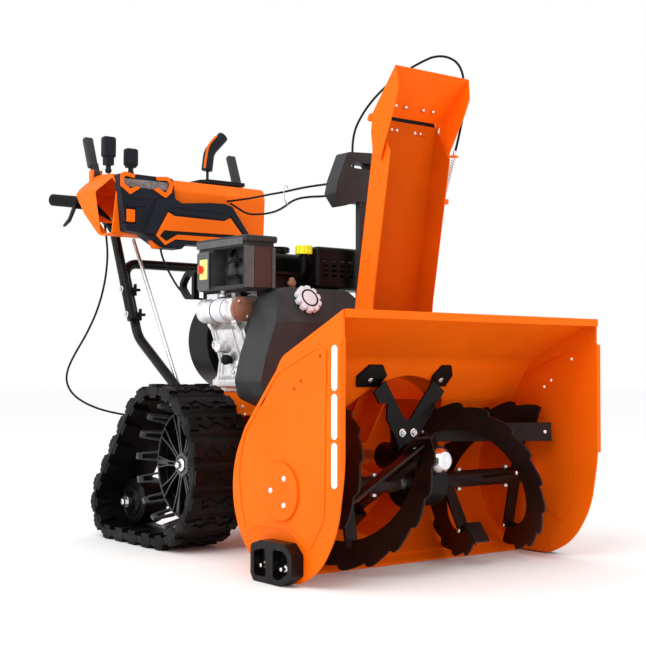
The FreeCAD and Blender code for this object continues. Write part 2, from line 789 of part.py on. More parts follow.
def make_control_tower():
    head = [(61, 940, 10), (136, 945, 10), (172, 905, 10), (186, 855, 8), (180, 812, 8)]
    head += [(140, 812, 4), (120, 822, 4), (92, 822, 4), (48, 808, 6), (24, 838, 8), (32, 872, 8)]
    slot = [(72, 903, 7), (140, 903, 7), (140, 918, 7), (72, 918, 7)]
    body = prism("y", 512, 44, head, slot)
    post = box((20, 16, 400), (100, 514, 440))
    foot = box((20, 31, 44), (100, 484, 446))
    return node(fuse(body, post, foot), "control_tower")


# ---------------------------------------------------------------- tractor and engine


def frame_outline():
    top = size("deck_z")
    outline = [(484, 96), (484, 330, 10), (512, top, 10), (800, top), (806, 338, 10)]
    return outline + [(905, 326, 20), (962, 270, 20), (962, 196, 20), (905, 172, 20), (660, 96, 20)]


def make_tractor_frame():
    half = size("frame_half")
    outer = prism("x", -half, 2 * half, frame_outline())
    inner = prism("x", -half + 5, 2 * half - 10, inset(frame_outline(), 5))
    top_gap = box((2 * half - 10, 92, 60), (-half + 5, 492, 320))
    front_gap = cylinder(100, 20, (0, 478, "dims.impeller_z"), "y")
    axle = cylinder(14.05, 320, (-160, "dims.axle_y", "dims.axle_z"), "x")
    windows = [box((320, 110, 50), (-160, 800, 225)), box((320, 90, 70), (-160, 560, 240))]
    shell = cut(outer, inner, top_gap, front_gap, axle, *windows)
    start, heading = V(*ROD_TOP), V(*ROD_HEADING)
    guide = cylinder(9, 26, tuple(start + heading * 470), heading)
    bracket = box((14, 22, 96), (ROD_TOP[0] - 7, 932, 270))
    rod_hole = cylinder(5.08, 560, tuple(start), heading)
    return node(cut(fuse(shell, guide, bracket), rod_hole), "tractor_frame")


def make_engine_block():
    crank = "dims.crank_z"
    base = box((184, 176, 16), (-92, 610, "dims.deck_z + 0.2"))
    sump = box((160, 180, 110), (-80, 606, "dims.deck_z + 12"))
    crankcase = cylinder(92, 196, (0, 604, crank), "y")
    face = cylinder(56, 8, (0, 597, crank), "y")
    lean = FreeCAD.Rotation(V(0, 1, 0), 24)
    barrel = box((96, 128, 60), (-44, 640, 560), lean)
    fins = [box((124, 150, 3), (-58 + 3 * i, 630, 566 + 9 * i), lean) for i in range(6)]
    starter_lug = box((76, 30, 60), (-150, 640, 530))
    wall = [(-60, 374, 4), (-146, 374, 4), (-146, 392, 4), (-130, 402, 8), (-124, 440, 20), (-138, 478, 20)]
    wall += [(-150, 512, 8), (-128, 552, 6), (-60, 560, 4)]
    side_case = prism("y", 640, 142, wall)
    pads = [box((26, 20, 30), (x, y, 362.2)) for x in (-112, 86) for y in (616, 756)]
    posts = [box((16, 16, 142), (x, y, 500)) for x in (-86, 60) for y in (668, 776)]
    posts.append(cylinder(15, 84, (-111, 700, 622), V(1, 0, -0.2)))
    posts.append(cylinder(13, 70, (36, 642, 572), "z"))
    posts.append(cylinder(11, 21, (36, 627.5, 644), "y"))
    whole = fuse(base, sump, crankcase, face, barrel, starter_lug, side_case, *fins, *pads, *posts)
    bore = cylinder(12.56, 240, (0, 580, crank), "y")
    starter = cylinder(30.1, 200, (-178, 590, 558), "y")
    return node(cut(whole, bore, starter), "engine_block")


def make_engine_pulley():
    """Crankshaft with its two grooves in front and the flywheel behind."""
    profile = [(500, 0), (500, 42), (504, 42), (509, 34), (515, 34), (520, 42), (530, 42), (535, 34)]
    profile += [(541, 34), (546, 42), (560, 42), (560, 12.5), (806, 12.5), (806, 96), (836, 96), (836, 0)]
    return node(revolved("y", (0, 0, "dims.crank_z"), profile), "engine_pulley")


def belt_loop(top_radius, low_radius):
    """Outline of a belt round the crankshaft sheave and the impeller sheave."""
    top, low = size("crank_z"), size("impeller_z")
    span = top - low
    lean = math.asin((low_radius - top_radius) / span)
    solid = Part.makeCylinder(top_radius, 6, V(0, 509, top), V(0, 1, 0))
    solid = solid.fuse(Part.makeCylinder(low_radius, 6, V(0, 509, low), V(0, 1, 0)))
    corners = []
    for sign in (1, -1):
        out = V(sign * math.cos(lean), 0, math.sin(lean))
        pair = [V(0, 509, top) + out * top_radius, V(0, 509, low) + out * low_radius]
        corners += pair if sign > 0 else pair[::-1]
    web = Part.Face(Part.makePolygon(corners + corners[:1])).extrude(V(0, 6, 0))
    return solid.fuse(web)


def make_drive_belts():
    loop = belt_loop(43, 108).cut(belt_loop(35, 99.5))
    return node(feature(loop), "drive_belt")


def make_flywheel_shroud():
    """Blower housing, wider on the starter's side, with the recoil starter behind it."""
    crank, radius = "dims.crank_z", size("shroud_radius")
    bowl = cylinder("dims.shroud_radius", 88, (0, 800, crank), "y")
    scroll = cylinder("dims.shroud_radius", 88, (-24, 800, crank), "y")
    web = box((24, 88, 2 * radius), (-24, 800, "dims.crank_z - dims.shroud_radius"))
    recoil = cone(96, 78, 22, (0, 888, crank), "y")
    hollow = cylinder("dims.shroud_radius - 8", 82, (0, 799, crank), "y")
    guide = box((30, 20, 30), (-150, 828, 613))
    link = box((34, 20, 60), (-134, 828, 555))
    scallops = [box((60, 8, 7), (-115, 884, 455 + 18 * i)) for i in range(4)]
    return node(cut(fuse(bowl, scroll, web, recoil, guide, link), hollow, *scallops), "flywheel_shroud")


def make_fuel_tank():
    tank = rounded_box((255, 153, 60), (-105, 655, 642), 16)
    neck = cylinder(24, 6, (-12, 702, 700), "z")
    return node(fuse(tank, neck), "fuel_tank")


def make_heater_box():
    """Carburettor heater box with an open side recess and a raised lid."""
    shell = rounded_box((82, 206, 116), (-198, 563, 604), 6)
    lid = rounded_box((92, 218, 16), (-203, 557, 712), 5)
    panel = box((8, 52, 84), (-204, 712, 612))
    recess = box((46, 132, 88), (-206, 572, 614))
    carburettor = cylinder(22, 110, (-150, 580, 652), "y")
    stub = cylinder(16, 40, (-170, 650, 640), "z")
    return node(fuse(cut(fuse(shell, lid), recess), panel, carburettor, stub), "heater_box")


def make_starter_motor():
    body = cylinder(28, 130, (-178, 612, 558), "y")
    rear = cylinder(30, 26, (-178, 742, 558), "y")
    cap = cylinder(30, 10, (-178, 602, 558), "y")
    return node(fuse(body, rear, cap), "starter_motor")


def make_muffler():
    """Muffler can inside its slotted guard."""
    guard = rounded_box((180, 82, 102), (-5, 545, 610), 10)
    inside = box((172, 74, 94), (-1, 549, 614))
    slots = [box((10, 60, 12), (14 + 21 * i, 556, 704)) for i in range(8)]
    rows = [box((16, 12, 5), (12 + 26 * i, 540, z)) for i in range(6) for z in (676, 664, 652, 640)]
    can = cylinder(28, 150, (10, 586, 656), "x")
    stay = box((20, 20, 30), (80, 576, 612))
    return node(fuse(cut(guard, inside, *slots, *rows), can, stay), "muffler")


def cover_outline(distance):
    front = [(-196, 352, 20), (-206, 392, 30), (-192, 450, 60), (-142, 592, 24), (-110, 608, 24)]
    front += [(70, 608, 30), (120, 560, 30), (176, 450, 40), (188, 372, 30), (150, 332, 16), (-150, 332, 16)]
    return inset(front, distance) if distance else front


def cover_profile(distance):
    side = [(487, 320), (487, 528, 14), (528, 612, 12), (594, 612), (594, 320)]
    if distance:
        side = [(490, 300), (490, 528, 12), (530, 609, 10), (600, 609), (600, 300)]
    return side


def make_belt_cover():
    outer = common(prism("y", 480, 120, cover_outline(0)), prism("x", -230, 460, cover_profile(0)))
    inner = common(prism("y", 480, 130, cover_outline(3)), prism("x", -230, 460, cover_profile(3)))
    frame_gap = box((304, 130, 50), (-152, 480, 312))
    ring_gap = cylinder(109, 60, ("dims.chute_x", "dims.chute_y", 480), "z")
    post_gap = box((26, 60, 220), (97, 480, 420))
    return node(cut(outer, inner, frame_gap, ring_gap, post_gap), "belt_cover")


def make_oil_filler():
    points = [(-26, 622, 560), (-26, 604, 616), (-26, 571, 650), (-26, 571, 692)]
    tube = bent_tube(points, [30, 30], 8)
    block = Part.makeCylinder(92, 230, V(0, 590, size("crank_z")), V(0, 1, 0))
    return node(feature(tube.cut(block)), "oil_filler_tube")


# ---------------------------------------------------------------- tracks


def loop_outline(distance):
    """Belt outline in (y, z) round the drive wheel and the idler, moved inwards."""
    big = V(size("axle_y"), size("axle_z"), 0)
    small = V(size("idler_y"), size("idler_z"), 0)
    big_radius = size("belt_radius") - distance
    small_radius = size("idler_belt_radius") - distance
    span = small - big
    heading = math.atan2(span.y, span.x)
    lean = math.acos((big_radius - small_radius) / span.Length)
    return big, small, big_radius, small_radius, heading, lean


def loop_solid(distance, start, length):
    big, small, big_radius, small_radius, heading, lean = loop_outline(distance)
    arcs = []
    ends = []
    for centre, radius in ((big, big_radius), (small, small_radius)):
        ends.append([centre + V(math.cos(heading + s * lean), math.sin(heading + s * lean), 0) * radius
                     for s in (1, -1)])
    far_big = big - V(math.cos(heading), math.sin(heading), 0) * big_radius
    far_small = small + V(math.cos(heading), math.sin(heading), 0) * small_radius
    arcs.append(Part.Arc(ends[0][1], far_big, ends[0][0]).toShape())
    arcs.append(Part.LineSegment(ends[0][0], ends[1][0]).toShape())
    arcs.append(Part.Arc(ends[1][0], far_small, ends[1][1]).toShape())
    arcs.append(Part.LineSegment(ends[1][1], ends[0][1]).toShape())
    face = Part.Face(Part.Wire(arcs))
    turn = FreeCAD.Matrix(0, 0, 1, start, 1, 0, 0, 0, 0, 1, 0, 0, 0, 0, 0, 1)
    return face.extrude(V(0, 0, length)).transformShape(turn)


def make_track_belt(side, sign):
    width = size("belt_outside") - size("belt_inside")
    start = size("belt_inside") if sign > 0 else -size("belt_outside")
    outer = loop_solid(0, start, width)
    inner = loop_solid(size("belt_thick"), start - 5, width + 10)
    return node(feature(outer.cut(inner)), "track_belt_" + side)


def make_track_carriage():
    """Axle tube, side arms, idler axles and the cross tube that joins both tracks."""
    ay, az, iy, iz = (size(n) for n in ("axle_y", "axle_z", "idler_y", "idler_z"))
    arms = []
    arm = [(ay - 30, az - 12, 18), (ay + 4, az - 42, 20), (iy + 6, iz - 30, 18)]
    arm += [(iy + 30, iz + 8, 18), (iy - 20, iz + 40, 30), (ay + 8, az + 38, 24), (ay - 28, az + 20, 16)]
    for _, sign in SIDES:
        arms.append(prism("x", 181 if sign > 0 else -187, 6, arm, circle_outline(ay, az, 14.05)))
        stub_start = 187 if sign > 0 else -274
        arms.append(cylinder(9.95, 87, (stub_start, iy, iz), "x"))
        arms.append(cylinder(24, 27, (154 if sign > 0 else -181, ay, az), "x"))
    cross = cylinder(12, 374, (-187, 905, 104), "x")
    spindle = cylinder(14.05, 400, (-200, ay, az), "x")
    return node(cut(fuse(*arms, cross), spindle), "track_carriage")


def make_drive_wheel(side, sign):
    """Moulded wheel with paired spokes, a rim and driving prongs that stand out sideways."""
    radius = size("wheel_radius")
    hub = Part.makeCylinder(30, 66, V(196, 0, 0), V(1, 0, 0))
    web = Part.makeCylinder(126, 5, V(216, 0, 0), V(1, 0, 0))
    rim = Part.makeCylinder(radius, 52, V(196, 0, 0), V(1, 0, 0))
    rim = rim.cut(Part.makeCylinder(radius - 9, 54, V(195, 0, 0), V(1, 0, 0)))
    pieces = [web, rim]
    for i in range(10):
        for lean in (-4.5, 4.5):
            spoke = Part.makeBox(26, 108, 5, V(220, 24, -2.5))
            spoke.rotate(V(233, 24, 0), V(1, 0, 0), lean)
            spoke.rotate(V(), V(1, 0, 0), 36 * i)
            pieces.append(spoke)
    for i in range(16):
        prong = Part.makeBox(104, size("prong_radius") - radius + 5, 20, V(196, radius - 6, -10))
        prong.rotate(V(), V(1, 0, 0), 22.5 * i)
        pieces.append(prong)
    axle = Part.makeCylinder(14, 206, V(56, 0, 0), V(1, 0, 0))
    shape = hub.fuse(pieces + [axle])
    if sign < 0:
        shape = shape.mirror(V(), V(1, 0, 0))
    shape.translate(V(0, size("axle_y"), size("axle_z")))
    return node(feature(shape), "drive_wheel_" + side)


def make_idler_wheel(side, sign):
    edge = size("idler_radius")
    profile = [(200, 10), (272, 10), (272, 22), (268, 48, 4), (260, 52), (260, edge), (206, edge)]
    profile += [(206, 28), (200, 20)]
    centre = (0, "dims.idler_y", "dims.idler_z")
    points = profile if sign > 0 else [(-p[0],) + p[1:] for p in profile[::-1]]
    return node(revolved("x", centre, points), "idler_wheel_" + side, "dims.idler_y")


# ---------------------------------------------------------------- handles and console


def make_lower_handle():
    x = size("lower_tube_x")
    points = [(-x, 824, 308), (-x, 1124, 504), (-x, 1210, 706)]
    points += [(x, 1210, 706), (x, 1124, 504), (x, 824, 308)]
    tube = bent_tube(points, [90, 42, 42, 90], size("tube_radius"))
    return node(feature(tube), "lower_handle")


def upper_route(sign):
    x = sign * size("upper_tube_x")
    return [(x, 1119, 549), (x, 1226, 800), (sign * 232, 1276, 872), (sign * 284, 1398, 890)]


def make_upper_handle():
    tubes = [bent_tube(upper_route(sign), [60, 44], size("tube_radius")) for _, sign in SIDES]
    tubes[1] = tubes[1].fuse(Part.makeCylinder(5, 22, V(-262.6, 1302, 862), V(1, 0, 0)))
    return node(feature(Part.makeCompound(tubes)), "upper_handle")


def make_hand_grips():
    grips = []
    for _, sign in SIDES:
        start, end = (V(*p) for p in upper_route(sign)[-2:])
        along = end - start
        along.normalize()
        grip = Part.makeCylinder(16.5, 101, end - along * 97, along)
        grips.append(grip.cut(Part.makeCylinder(size("tube_radius"), 97, end - along * 97, along)))
    return node(feature(Part.makeCompound(grips)), "hand_grips")


def console_outline(distance):
    half = size("console_half")
    front = [(-half + 8, 772, 10), (-half, 892, 14), (-half + 34, 944, 14), (half - 34, 944, 14)]
    front += [(half, 892, 14), (half - 8, 772, 10)]
    return inset(front, distance) if distance else front


def console_profile(distance):
    side = [(1128, 776, 6), (1112, 905, 10), (1134, 936, 10), (1236, 944, 12)]
    side += [(1302, 906, 14), (1246, 836, 18), (1168, 772, 8)]
    return inset(side, distance) if distance else side


def console_plan(distance):
    """Seen from above the console is narrower along its front."""
    half = size("console_half")
    front = [(-half + 32, 1060), (half - 32, 1060), (half - 32, 1112, 10), (half, 1190, 30)]
    front += [(half, 1340), (-half, 1340), (-half, 1190, 30), (-half + 32, 1112, 10)]
    return inset(front, distance) if distance else front


def console_solid(distance):
    half = size("console_half")
    front = prism("y", 1050, 300, console_outline(distance))
    side = prism("x", -half, 2 * half, console_profile(distance))
    plan = prism("z", 700, 300, console_plan(distance))
    return common(common(front, side), plan)


def make_console_shell():
    opening = box((470, 66, 52), (-235, 1166, 762))
    sleeves = []
    ears = []
    for _, sign in SIDES:
        sleeves.append(feature(bent_tube(upper_route(sign), [60, 44], size("tube_radius") + 1)))
        ears += [box((4, 22, 30), (sign * 230 + k, 1239, 929)) for k in (-14.5, 10.5)]
    shell = cut(console_solid(0), console_solid(3), opening, *sleeves)
    return node(fuse(shell, *ears), "console_shell")


def make_console_fascia():
    front = size("fascia_front")
    outline = [(-220, 782, 6), (-240, 900, 8), (-238, 934, 8), (-80, 932, 8), (-72, 878, 6), (-50, 868, 6)]
    outline += [(40, 877, 6), (88, 878, 6), (112, 872, 6), (170, 797, 6), (134, 757, 6), (-36, 757, 4)]
    outline += [(-52, 743, 4), (-110, 743, 6), (-168, 777, 6)]
    slab = prism("y", front, 44, outline)
    lens_slot = box((138, 8, 26), (-230, front - 1, 896))
    rocker_slot = box((32, 12, 42), (-224, front - 1, 801))
    return node(cut(slab, console_solid(0), lens_slot, rocker_slot), "console_fascia")


def make_headlight():
    return node(rounded_box((136, 6, 24), (-229, "dims.fascia_front + 0.2", 897), 2), "headlight")


def make_console_trim():
    """Two brackets that clasp the headlight's ends and the blank six-sided badge frame."""
    front = size("fascia_front")
    left = [(-239, 931, 3), (-228, 937, 3), (-197, 932, 3), (-199, 922, 2), (-225, 926, 3), (-230, 921, 2)]
    left += [(-230, 905, 2), (-211, 893, 3), (-190, 902, 2), (-183, 896, 2), (-211, 878, 3), (-239, 898, 3)]
    right = [(-134, 932, 3), (-97, 935, 3), (-80, 919, 3), (-86, 893, 3), (-104, 877, 3), (-140, 896, 2)]
    right += [(-131, 903, 2), (-104, 891, 3), (-96, 903, 3), (-92, 916, 2), (-100, 924, 3), (-130, 922, 2)]
    pieces = [prism("y", front - 5, 5, outline) for outline in (left, right)]
    badge = [(-132, 775, 3), (-95, 840, 3), (-75, 831, 4), (83, 829, 4), (104, 840, 3), (147, 792, 3)]
    badge += [(110, 777, 3), (79, 769, 3), (-72, 768, 3), (-104, 750, 3)]
    inset_mark = [(-121, 774, 2), (-108, 790, 2), (128, 793, 2), (107, 783, 2)]
    inset_mark += [(-66, 781, 2), (-101, 761, 2)]
    pieces.append(prism("y", front - 3, 3, badge, inset_mark))
    return node(group(*pieces), "console_trim")


# ---------------------------------------------------------------- levers and small controls


def clutch_lever(name, sign):
    """Flat lever standing behind the console top; swings rearwards on its pin."""
    pivot = V(sign * 230, 1250, 950)
    hub = Part.makeCylinder(9, 18, pivot - V(9, 0, 0), V(1, 0, 0))
    shank = Part.makeBox(18, 16, 30, V(-9, -8, 0))
    blade = Part.makeBox(28, 18, 94, V(-9 if sign > 0 else -19, -9, 18))
    blade = blade.makeFillet(6, blade.Edges)
    for part in (shank, blade):
        part.rotate(V(), V(1, 0, 0), -22)
        part.translate(pivot)
    return node(feature(hub.fuse([shank, blade])), name)


def small_lever(name, x, height, grip_height, base_z):
    """Broad knob on a short stem with a ball at its foot."""
    y = size("lever_y")
    ball = Part.makeSphere(9, V(x, y, base_z))
    stem = Part.makeCylinder(7, height - 20, V(x, y, base_z), V(0, 0, 1))
    neck_height = height - grip_height - 14
    neck = Part.makeBox(24, 20, neck_height + 8, V(x - 12, y - 10, base_z + 14))
    knob = Part.makeBox(38, 26, grip_height, V(x - 19, y - 13, base_z + height - grip_height))
    knob = knob.makeFillet(8, knob.Edges)
    return node(feature(ball.fuse([stem, neck, knob])), name)


def make_speed_lever():
    x, y = size("speed_lever_x"), size("lever_y")
    ball = Part.makeSphere(9, V(x, y, 953.5))
    stem = Part.makeCylinder(4, 50, V(x, y, 953.5), V(0, 0, 1))
    path = bent_wire([(x - 2, y, 986), (x + 5, y, 1040), (x + 52, y, 1090)], [50])
    ring = Part.Wire(Part.Circle(V(x - 2, y, 986), V(7, 0, 54), 16).toShape())
    grip = path.makePipeShell([ring], True, False)
    return node(feature(ball.fuse([stem, grip])), "speed_lever")


def make_shift_rod():
    rod = Part.makeCylinder(5, 520, V(*ROD_TOP), V(*ROD_HEADING))
    return node(feature(rod), "shift_rod")


def make_carriage_trigger():
    outline = [(1294, 862, 6), (1302, 852, 8), (1330, 824, 10), (1366, 812, 3), (1368, 818, 3)]
    outline += [(1336, 834, 10), (1312, 862, 6), (1303, 870, 5)]
    return node(prism("x", -270, 7, outline), "carriage_trigger")


def make_pull_handle():
    outer = [(853, 592, 8), (898, 594, 24), (932, 628, 22), (898, 664, 24), (853, 666, 8)]
    return node(prism("x", -158, 16, outer, inset(outer, -12)), "pull_handle")


def make_choke_knob():
    disc = cylinder(10, 7, (-211.3, 738, 656), "x")
    wing = box((6, 5, 18), (-217, 735.5, 647))
    return node(fuse(disc, wing), "choke_knob")


def ribbed_cap(name, x, y, z, radius, height, ribs):
    cap = Part.makeCylinder(radius - 2, height, V(x, y, z))
    for i in range(ribs):
        angle = 2 * math.pi * i / ribs
        spot = V(x + (radius - 2.5) * math.cos(angle), y + (radius - 2.5) * math.sin(angle), z + 1)
        cap = cap.fuse(Part.makeCylinder(2.5, height - 2, spot))
    return node(feature(cap), name)


def make_cover_knob():
    """Scalloped knob on the sloped face of the belt cover."""
    axis = V(0, -0.9, 0.436)
    knob = Part.makeCylinder(32, 12, V(), V(0, 0, 1))
    for i in range(10):
        angle = 2 * math.pi * i / 10
        notch = Part.makeCylinder(5, 20, V(33 * math.cos(angle), 33 * math.sin(angle), -4))
        knob = knob.cut(notch)
    shank = Part.makeCylinder(11, 4, V(0, 0, -4))
    knob = knob.fuse(shank)
    knob.Placement = FreeCAD.Placement(V(-64, 506.5, 578), FreeCAD.Rotation(V(0, 0, 1), axis))
    return node(feature(knob), "cover_knob")


def make_rocker_switch():
    return node(rounded_box((26, 9, 34), (-221, "dims.fascia_front - 3", 805), 3), "rocker_switch")


def make_control_cables():
    """Two cables to the tower, one down the handle and the long loop to the tracks."""
    upper = [(108, 1110, 889), (98, 1030, 884), (88, 945, 880), (74, 860, 877), (62, 775, 873)]
    upper += [(51, 690, 872), (43, 620, 869), (40, 556.3, 866)]
    lower = [(120, 1112, 884), (126, 1072, 862), (124, 1030, 846), (116, 970, 839), (100, 895, 833)]
    lower += [(82, 815, 834), (64, 735, 850), (50, 650, 846), (42, 600, 840), (40, 556.3, 837)]
    middle = [(-85, 1152, 769), (-88, 1142, 737), (-95, 1104, 700), (-103, 1056, 662), (-112, 1000, 625)]
    middle += [(-122, 930, 600), (-124, 848.3, 592)]
    side = [(-222, 1210, 806), (-228, 1182, 752), (-240, 1158, 700), (-250, 1154, 640), (-258, 1176, 574)]
    side += [(-264, 1226, 512), (-268, 1284, 462), (-268, 1330, 420), (-264, 1350, 384), (-256, 1330, 350)]
    side += [(-244, 1280, 326), (-226, 1215, 308), (-206, 1140, 298), (-182, 1060, 291), (-160, 985, 286)]
    solids = [cable("cable_%d" % i, route, 3) for i, route in enumerate((upper, lower, middle, side))]
    return node(feature(Part.makeCompound(solids)), "control_cables")


# ---------------------------------------------------------------- assembly


def build():
    make_auger_housing()
    for side, sign in SIDES:
        make_side_plate(side, sign)
        make_auger(side, sign)
        make_track_belt(side, sign)
        make_drive_wheel(side, sign)
        make_idler_wheel(side, sign)
    make_scraper_bar()
    make_skid_shoes()
    make_frame_fasteners()
    make_reflector_strips()
    make_auger_bearings()
    make_gearcase()
    make_gearcase_brace()
    make_auger_shaft()
    make_worm_wheel()
    make_impeller_shaft()
    make_impeller()
    make_impeller_housing()
    make_chute()
    make_chute_deflector()
    make_deflector_cable()
    make_control_tower()
    make_tractor_frame()
    make_engine_block()
    make_engine_pulley()
    make_drive_belts()
    make_flywheel_shroud()
    make_fuel_tank()
    make_heater_box()
    make_starter_motor()
    make_muffler()
    make_belt_cover()
    make_oil_filler()
    make_track_carriage()
    make_lower_handle()
    make_upper_handle()
    make_hand_grips()
    make_console_shell()
    make_console_fascia()
    make_headlight()
    make_console_trim()
    clutch_lever("drive_clutch_lever", 1)
    clutch_lever("auger_clutch_lever", -1)
    small_lever("chute_lever", -150, 67, 50, 954.5)
    small_lever("deflector_lever", -218, 92, 58, 954.5)
    make_speed_lever()
    make_shift_rod()
    make_carriage_trigger()
    make_pull_handle()
    make_choke_knob()
    ribbed_cap("fuel_cap", -12, 702, 706.3, 32, 13, 12)
    ribbed_cap("oil_cap", -26, 571, 692.3, 21, 20, 14)
    make_cover_knob()
    make_rocker_switch()
    make_control_cables()


def check():
    """Stops on a failed object or a bad shape before anything is written."""
    for thing in doc.Objects:
        if "Invalid" in thing.State or "Error" in thing.State:
            raise RuntimeError("%s (%s) failed" % (thing.Name, thing.Label))
    for name, thing in nodes.items():
        shape = thing.Shape
        if shape.isNull() or not shape.isValid() or not shape.Solids:
            raise RuntimeError("%s has a bad shape" % name)


def report():
    """Bounding box of the whole part, for setting datum_y."""
    whole = FreeCAD.BoundBox()
    for thing in nodes.values():
        whole.add(thing.Shape.BoundBox)
    print("box x %.1f..%.1f  y %.1f..%.1f  z %.1f..%.1f" % (
        whole.XMin, whole.XMax, whole.YMin, whole.YMax, whole.ZMin, whole.ZMax))
    print("%d nodes" % len(nodes))


build()
doc.recompute()
check()
report()
os.makedirs("parts", exist_ok=True)
for name, thing in nodes.items():
    thing.Shape.exportStep("parts/%s.step" % name)
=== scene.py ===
"""Looks of the two stage snowblower on tracks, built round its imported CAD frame."""
import json
import math

import bmesh
import bpy
from mathutils import Matrix, Vector


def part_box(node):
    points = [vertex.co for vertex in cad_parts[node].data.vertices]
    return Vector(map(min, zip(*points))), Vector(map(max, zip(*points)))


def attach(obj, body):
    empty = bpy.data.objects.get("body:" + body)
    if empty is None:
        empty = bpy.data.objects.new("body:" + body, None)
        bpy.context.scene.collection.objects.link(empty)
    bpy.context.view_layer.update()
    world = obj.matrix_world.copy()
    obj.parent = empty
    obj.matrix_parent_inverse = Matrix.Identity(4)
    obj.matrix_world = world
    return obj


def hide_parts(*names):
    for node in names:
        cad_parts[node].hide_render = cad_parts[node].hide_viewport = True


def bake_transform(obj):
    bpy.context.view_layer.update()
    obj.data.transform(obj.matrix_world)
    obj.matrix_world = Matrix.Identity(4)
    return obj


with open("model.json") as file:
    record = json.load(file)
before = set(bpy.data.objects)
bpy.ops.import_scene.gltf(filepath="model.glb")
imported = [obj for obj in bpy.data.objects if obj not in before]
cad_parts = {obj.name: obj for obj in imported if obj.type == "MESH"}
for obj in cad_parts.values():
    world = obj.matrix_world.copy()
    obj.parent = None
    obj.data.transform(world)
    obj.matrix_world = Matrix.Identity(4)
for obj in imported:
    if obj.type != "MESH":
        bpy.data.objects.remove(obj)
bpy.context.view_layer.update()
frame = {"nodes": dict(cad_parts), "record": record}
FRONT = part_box("side_plate_left")[0].y
BODY_OF = {n: b for b, names in frame["record"]["behaviour"]["bodies"].items() for n in names}
SLOT_OF = {s["node"]: s["material_slot"] for s in frame["record"]["subparts"]}
SIDES = (("left", 1), ("right", -1))
X, Y, Z = Vector((1, 0, 0)), Vector((0, 1, 0)), Vector((0, 0, 1))

# Sizes in millimetres and degrees; places are measured from the housing's open front
TRACK_SEGMENTS = 22
STEPS_PER_SEGMENT = 10
WHEEL_SPOKES = 10
WHEEL_PRONGS = 16
FLIGHT_NEAR = 72
FLIGHT_FAR = 322
FLIGHT_TURN = 240
FLIGHT_TIP = 168
FLIGHT_ROOT = 109
FLIGHT_START = {"left": 51, "right": 140}
RAKE_END = {"left": 125, "right": 199}
RAKE_RADIUS = 139
PIPE_RADIUS = 18.5
CABLE_RADIUS = 2.8
FLANGE_RADIUS = 98
FLANGE_BOLTS = (158, 182, 206, 232, 256)
HANDLE_BOLTS = ((1125, 563), (1154, 631))
FRAME_BOLTS = ((640, 329), (631, 311), (588, 345))
SHOE_BOLTS = (164, 232)
BRACE_BOLTS = (-110, 92)
HUB_BOLTS = (-24, 8)


def at(x, y, z):
    """Machine millimetres, measured from the housing's open front, as a point in the frame."""
    return Vector((x / 1000, FRONT + y / 1000, z / 1000))


def middle(node):
    """Centre of a CAD node's box, in the frame."""
    low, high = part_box(node)
    return (low + high) / 2


def add_object(name, data):
    piece = bpy.data.objects.new(name, data)
    bpy.context.scene.collection.objects.link(piece)
    return piece


# ---------------------------------------------------------------- materials


class Paint:
    """A material with grain in its colour, roughness and bump, in object coordinates."""

    def __init__(self, name, colour, roughness, metallic=0.0):
        self.name = name
        self.material = bpy.data.materials.new(name)
        self.material.use_nodes = True
        self.nodes = self.material.node_tree.nodes
        self.links = self.material.node_tree.links
        self.shader = self.nodes["Principled BSDF"]
        self.colour = colour
        self.roughness = roughness
        self.shader.inputs["Base Color"].default_value = (*colour, 1)
        self.shader.inputs["Roughness"].default_value = roughness
        self.shader.inputs["Metallic"].default_value = metallic
        self.place = self.nodes.new("ShaderNodeTexCoord").outputs["Object"]

    def noise(self, scale, detail=3.0, stretch=None):
        """Factor of a noise texture, which stretch draws out along an axis."""
        texture = self.nodes.new("ShaderNodeTexNoise")
        texture.inputs["Scale"].default_value = scale
        texture.inputs["Detail"].default_value = detail
        source = self.place
        if stretch:
            mapping = self.nodes.new("ShaderNodeMapping")
            mapping.inputs["Scale"].default_value = stretch
            self.links.new(source, mapping.inputs["Vector"])
            source = mapping.outputs["Vector"]
        self.links.new(source, texture.inputs["Vector"])
        return texture.outputs["Fac"]

    def ramp(self, factor, low, high):
        """Colour that goes from low to high over the middle of the factor's range."""
        node = self.nodes.new("ShaderNodeValToRGB")
        for element, place, colour in zip(node.color_ramp.elements, (0.35, 0.65), (low, high)):
            element.position = place
            element.color = (*colour, 1)
        self.links.new(factor, node.inputs["Fac"])
        return node.outputs["Color"]

    def mottled(self, scale, spread=0.12):
        """Colour that varies a little over the surface."""
        low = [c * (1 - spread) for c in self.colour]
        high = [min(c * (1 + spread), 1) for c in self.colour]
        self.links.new(self.ramp(self.noise(scale), low, high), self.shader.inputs["Base Color"])
        return self

    def worn(self, scale, spread=0.1):
        """Roughness that varies over the surface."""
        low, high = self.roughness - spread, self.roughness + spread
        shades = self.ramp(self.noise(scale, 4), [max(low, 0.03)] * 3, [min(high, 1)] * 3)
        self.links.new(shades, self.shader.inputs["Roughness"])
        return self

    def grain(self, scale, strength, distance=0.0005, stretch=None):
        """Fine bump over the surface."""
        bump = self.nodes.new("ShaderNodeBump")
        bump.inputs["Strength"].default_value = strength
        bump.inputs["Distance"].default_value = distance
        self.links.new(self.noise(scale, 2, stretch), bump.inputs["Height"])
        self.links.new(bump.outputs["Normal"], self.shader.inputs["Normal"])
        return self

    def shiny(self, level):
        self.shader.inputs["Specular IOR Level"].default_value = level
        return self

    def coated(self, weight):
        self.shader.inputs["Coat Weight"].default_value = weight
        self.shader.inputs["Coat Roughness"].default_value = 0.15
        return self


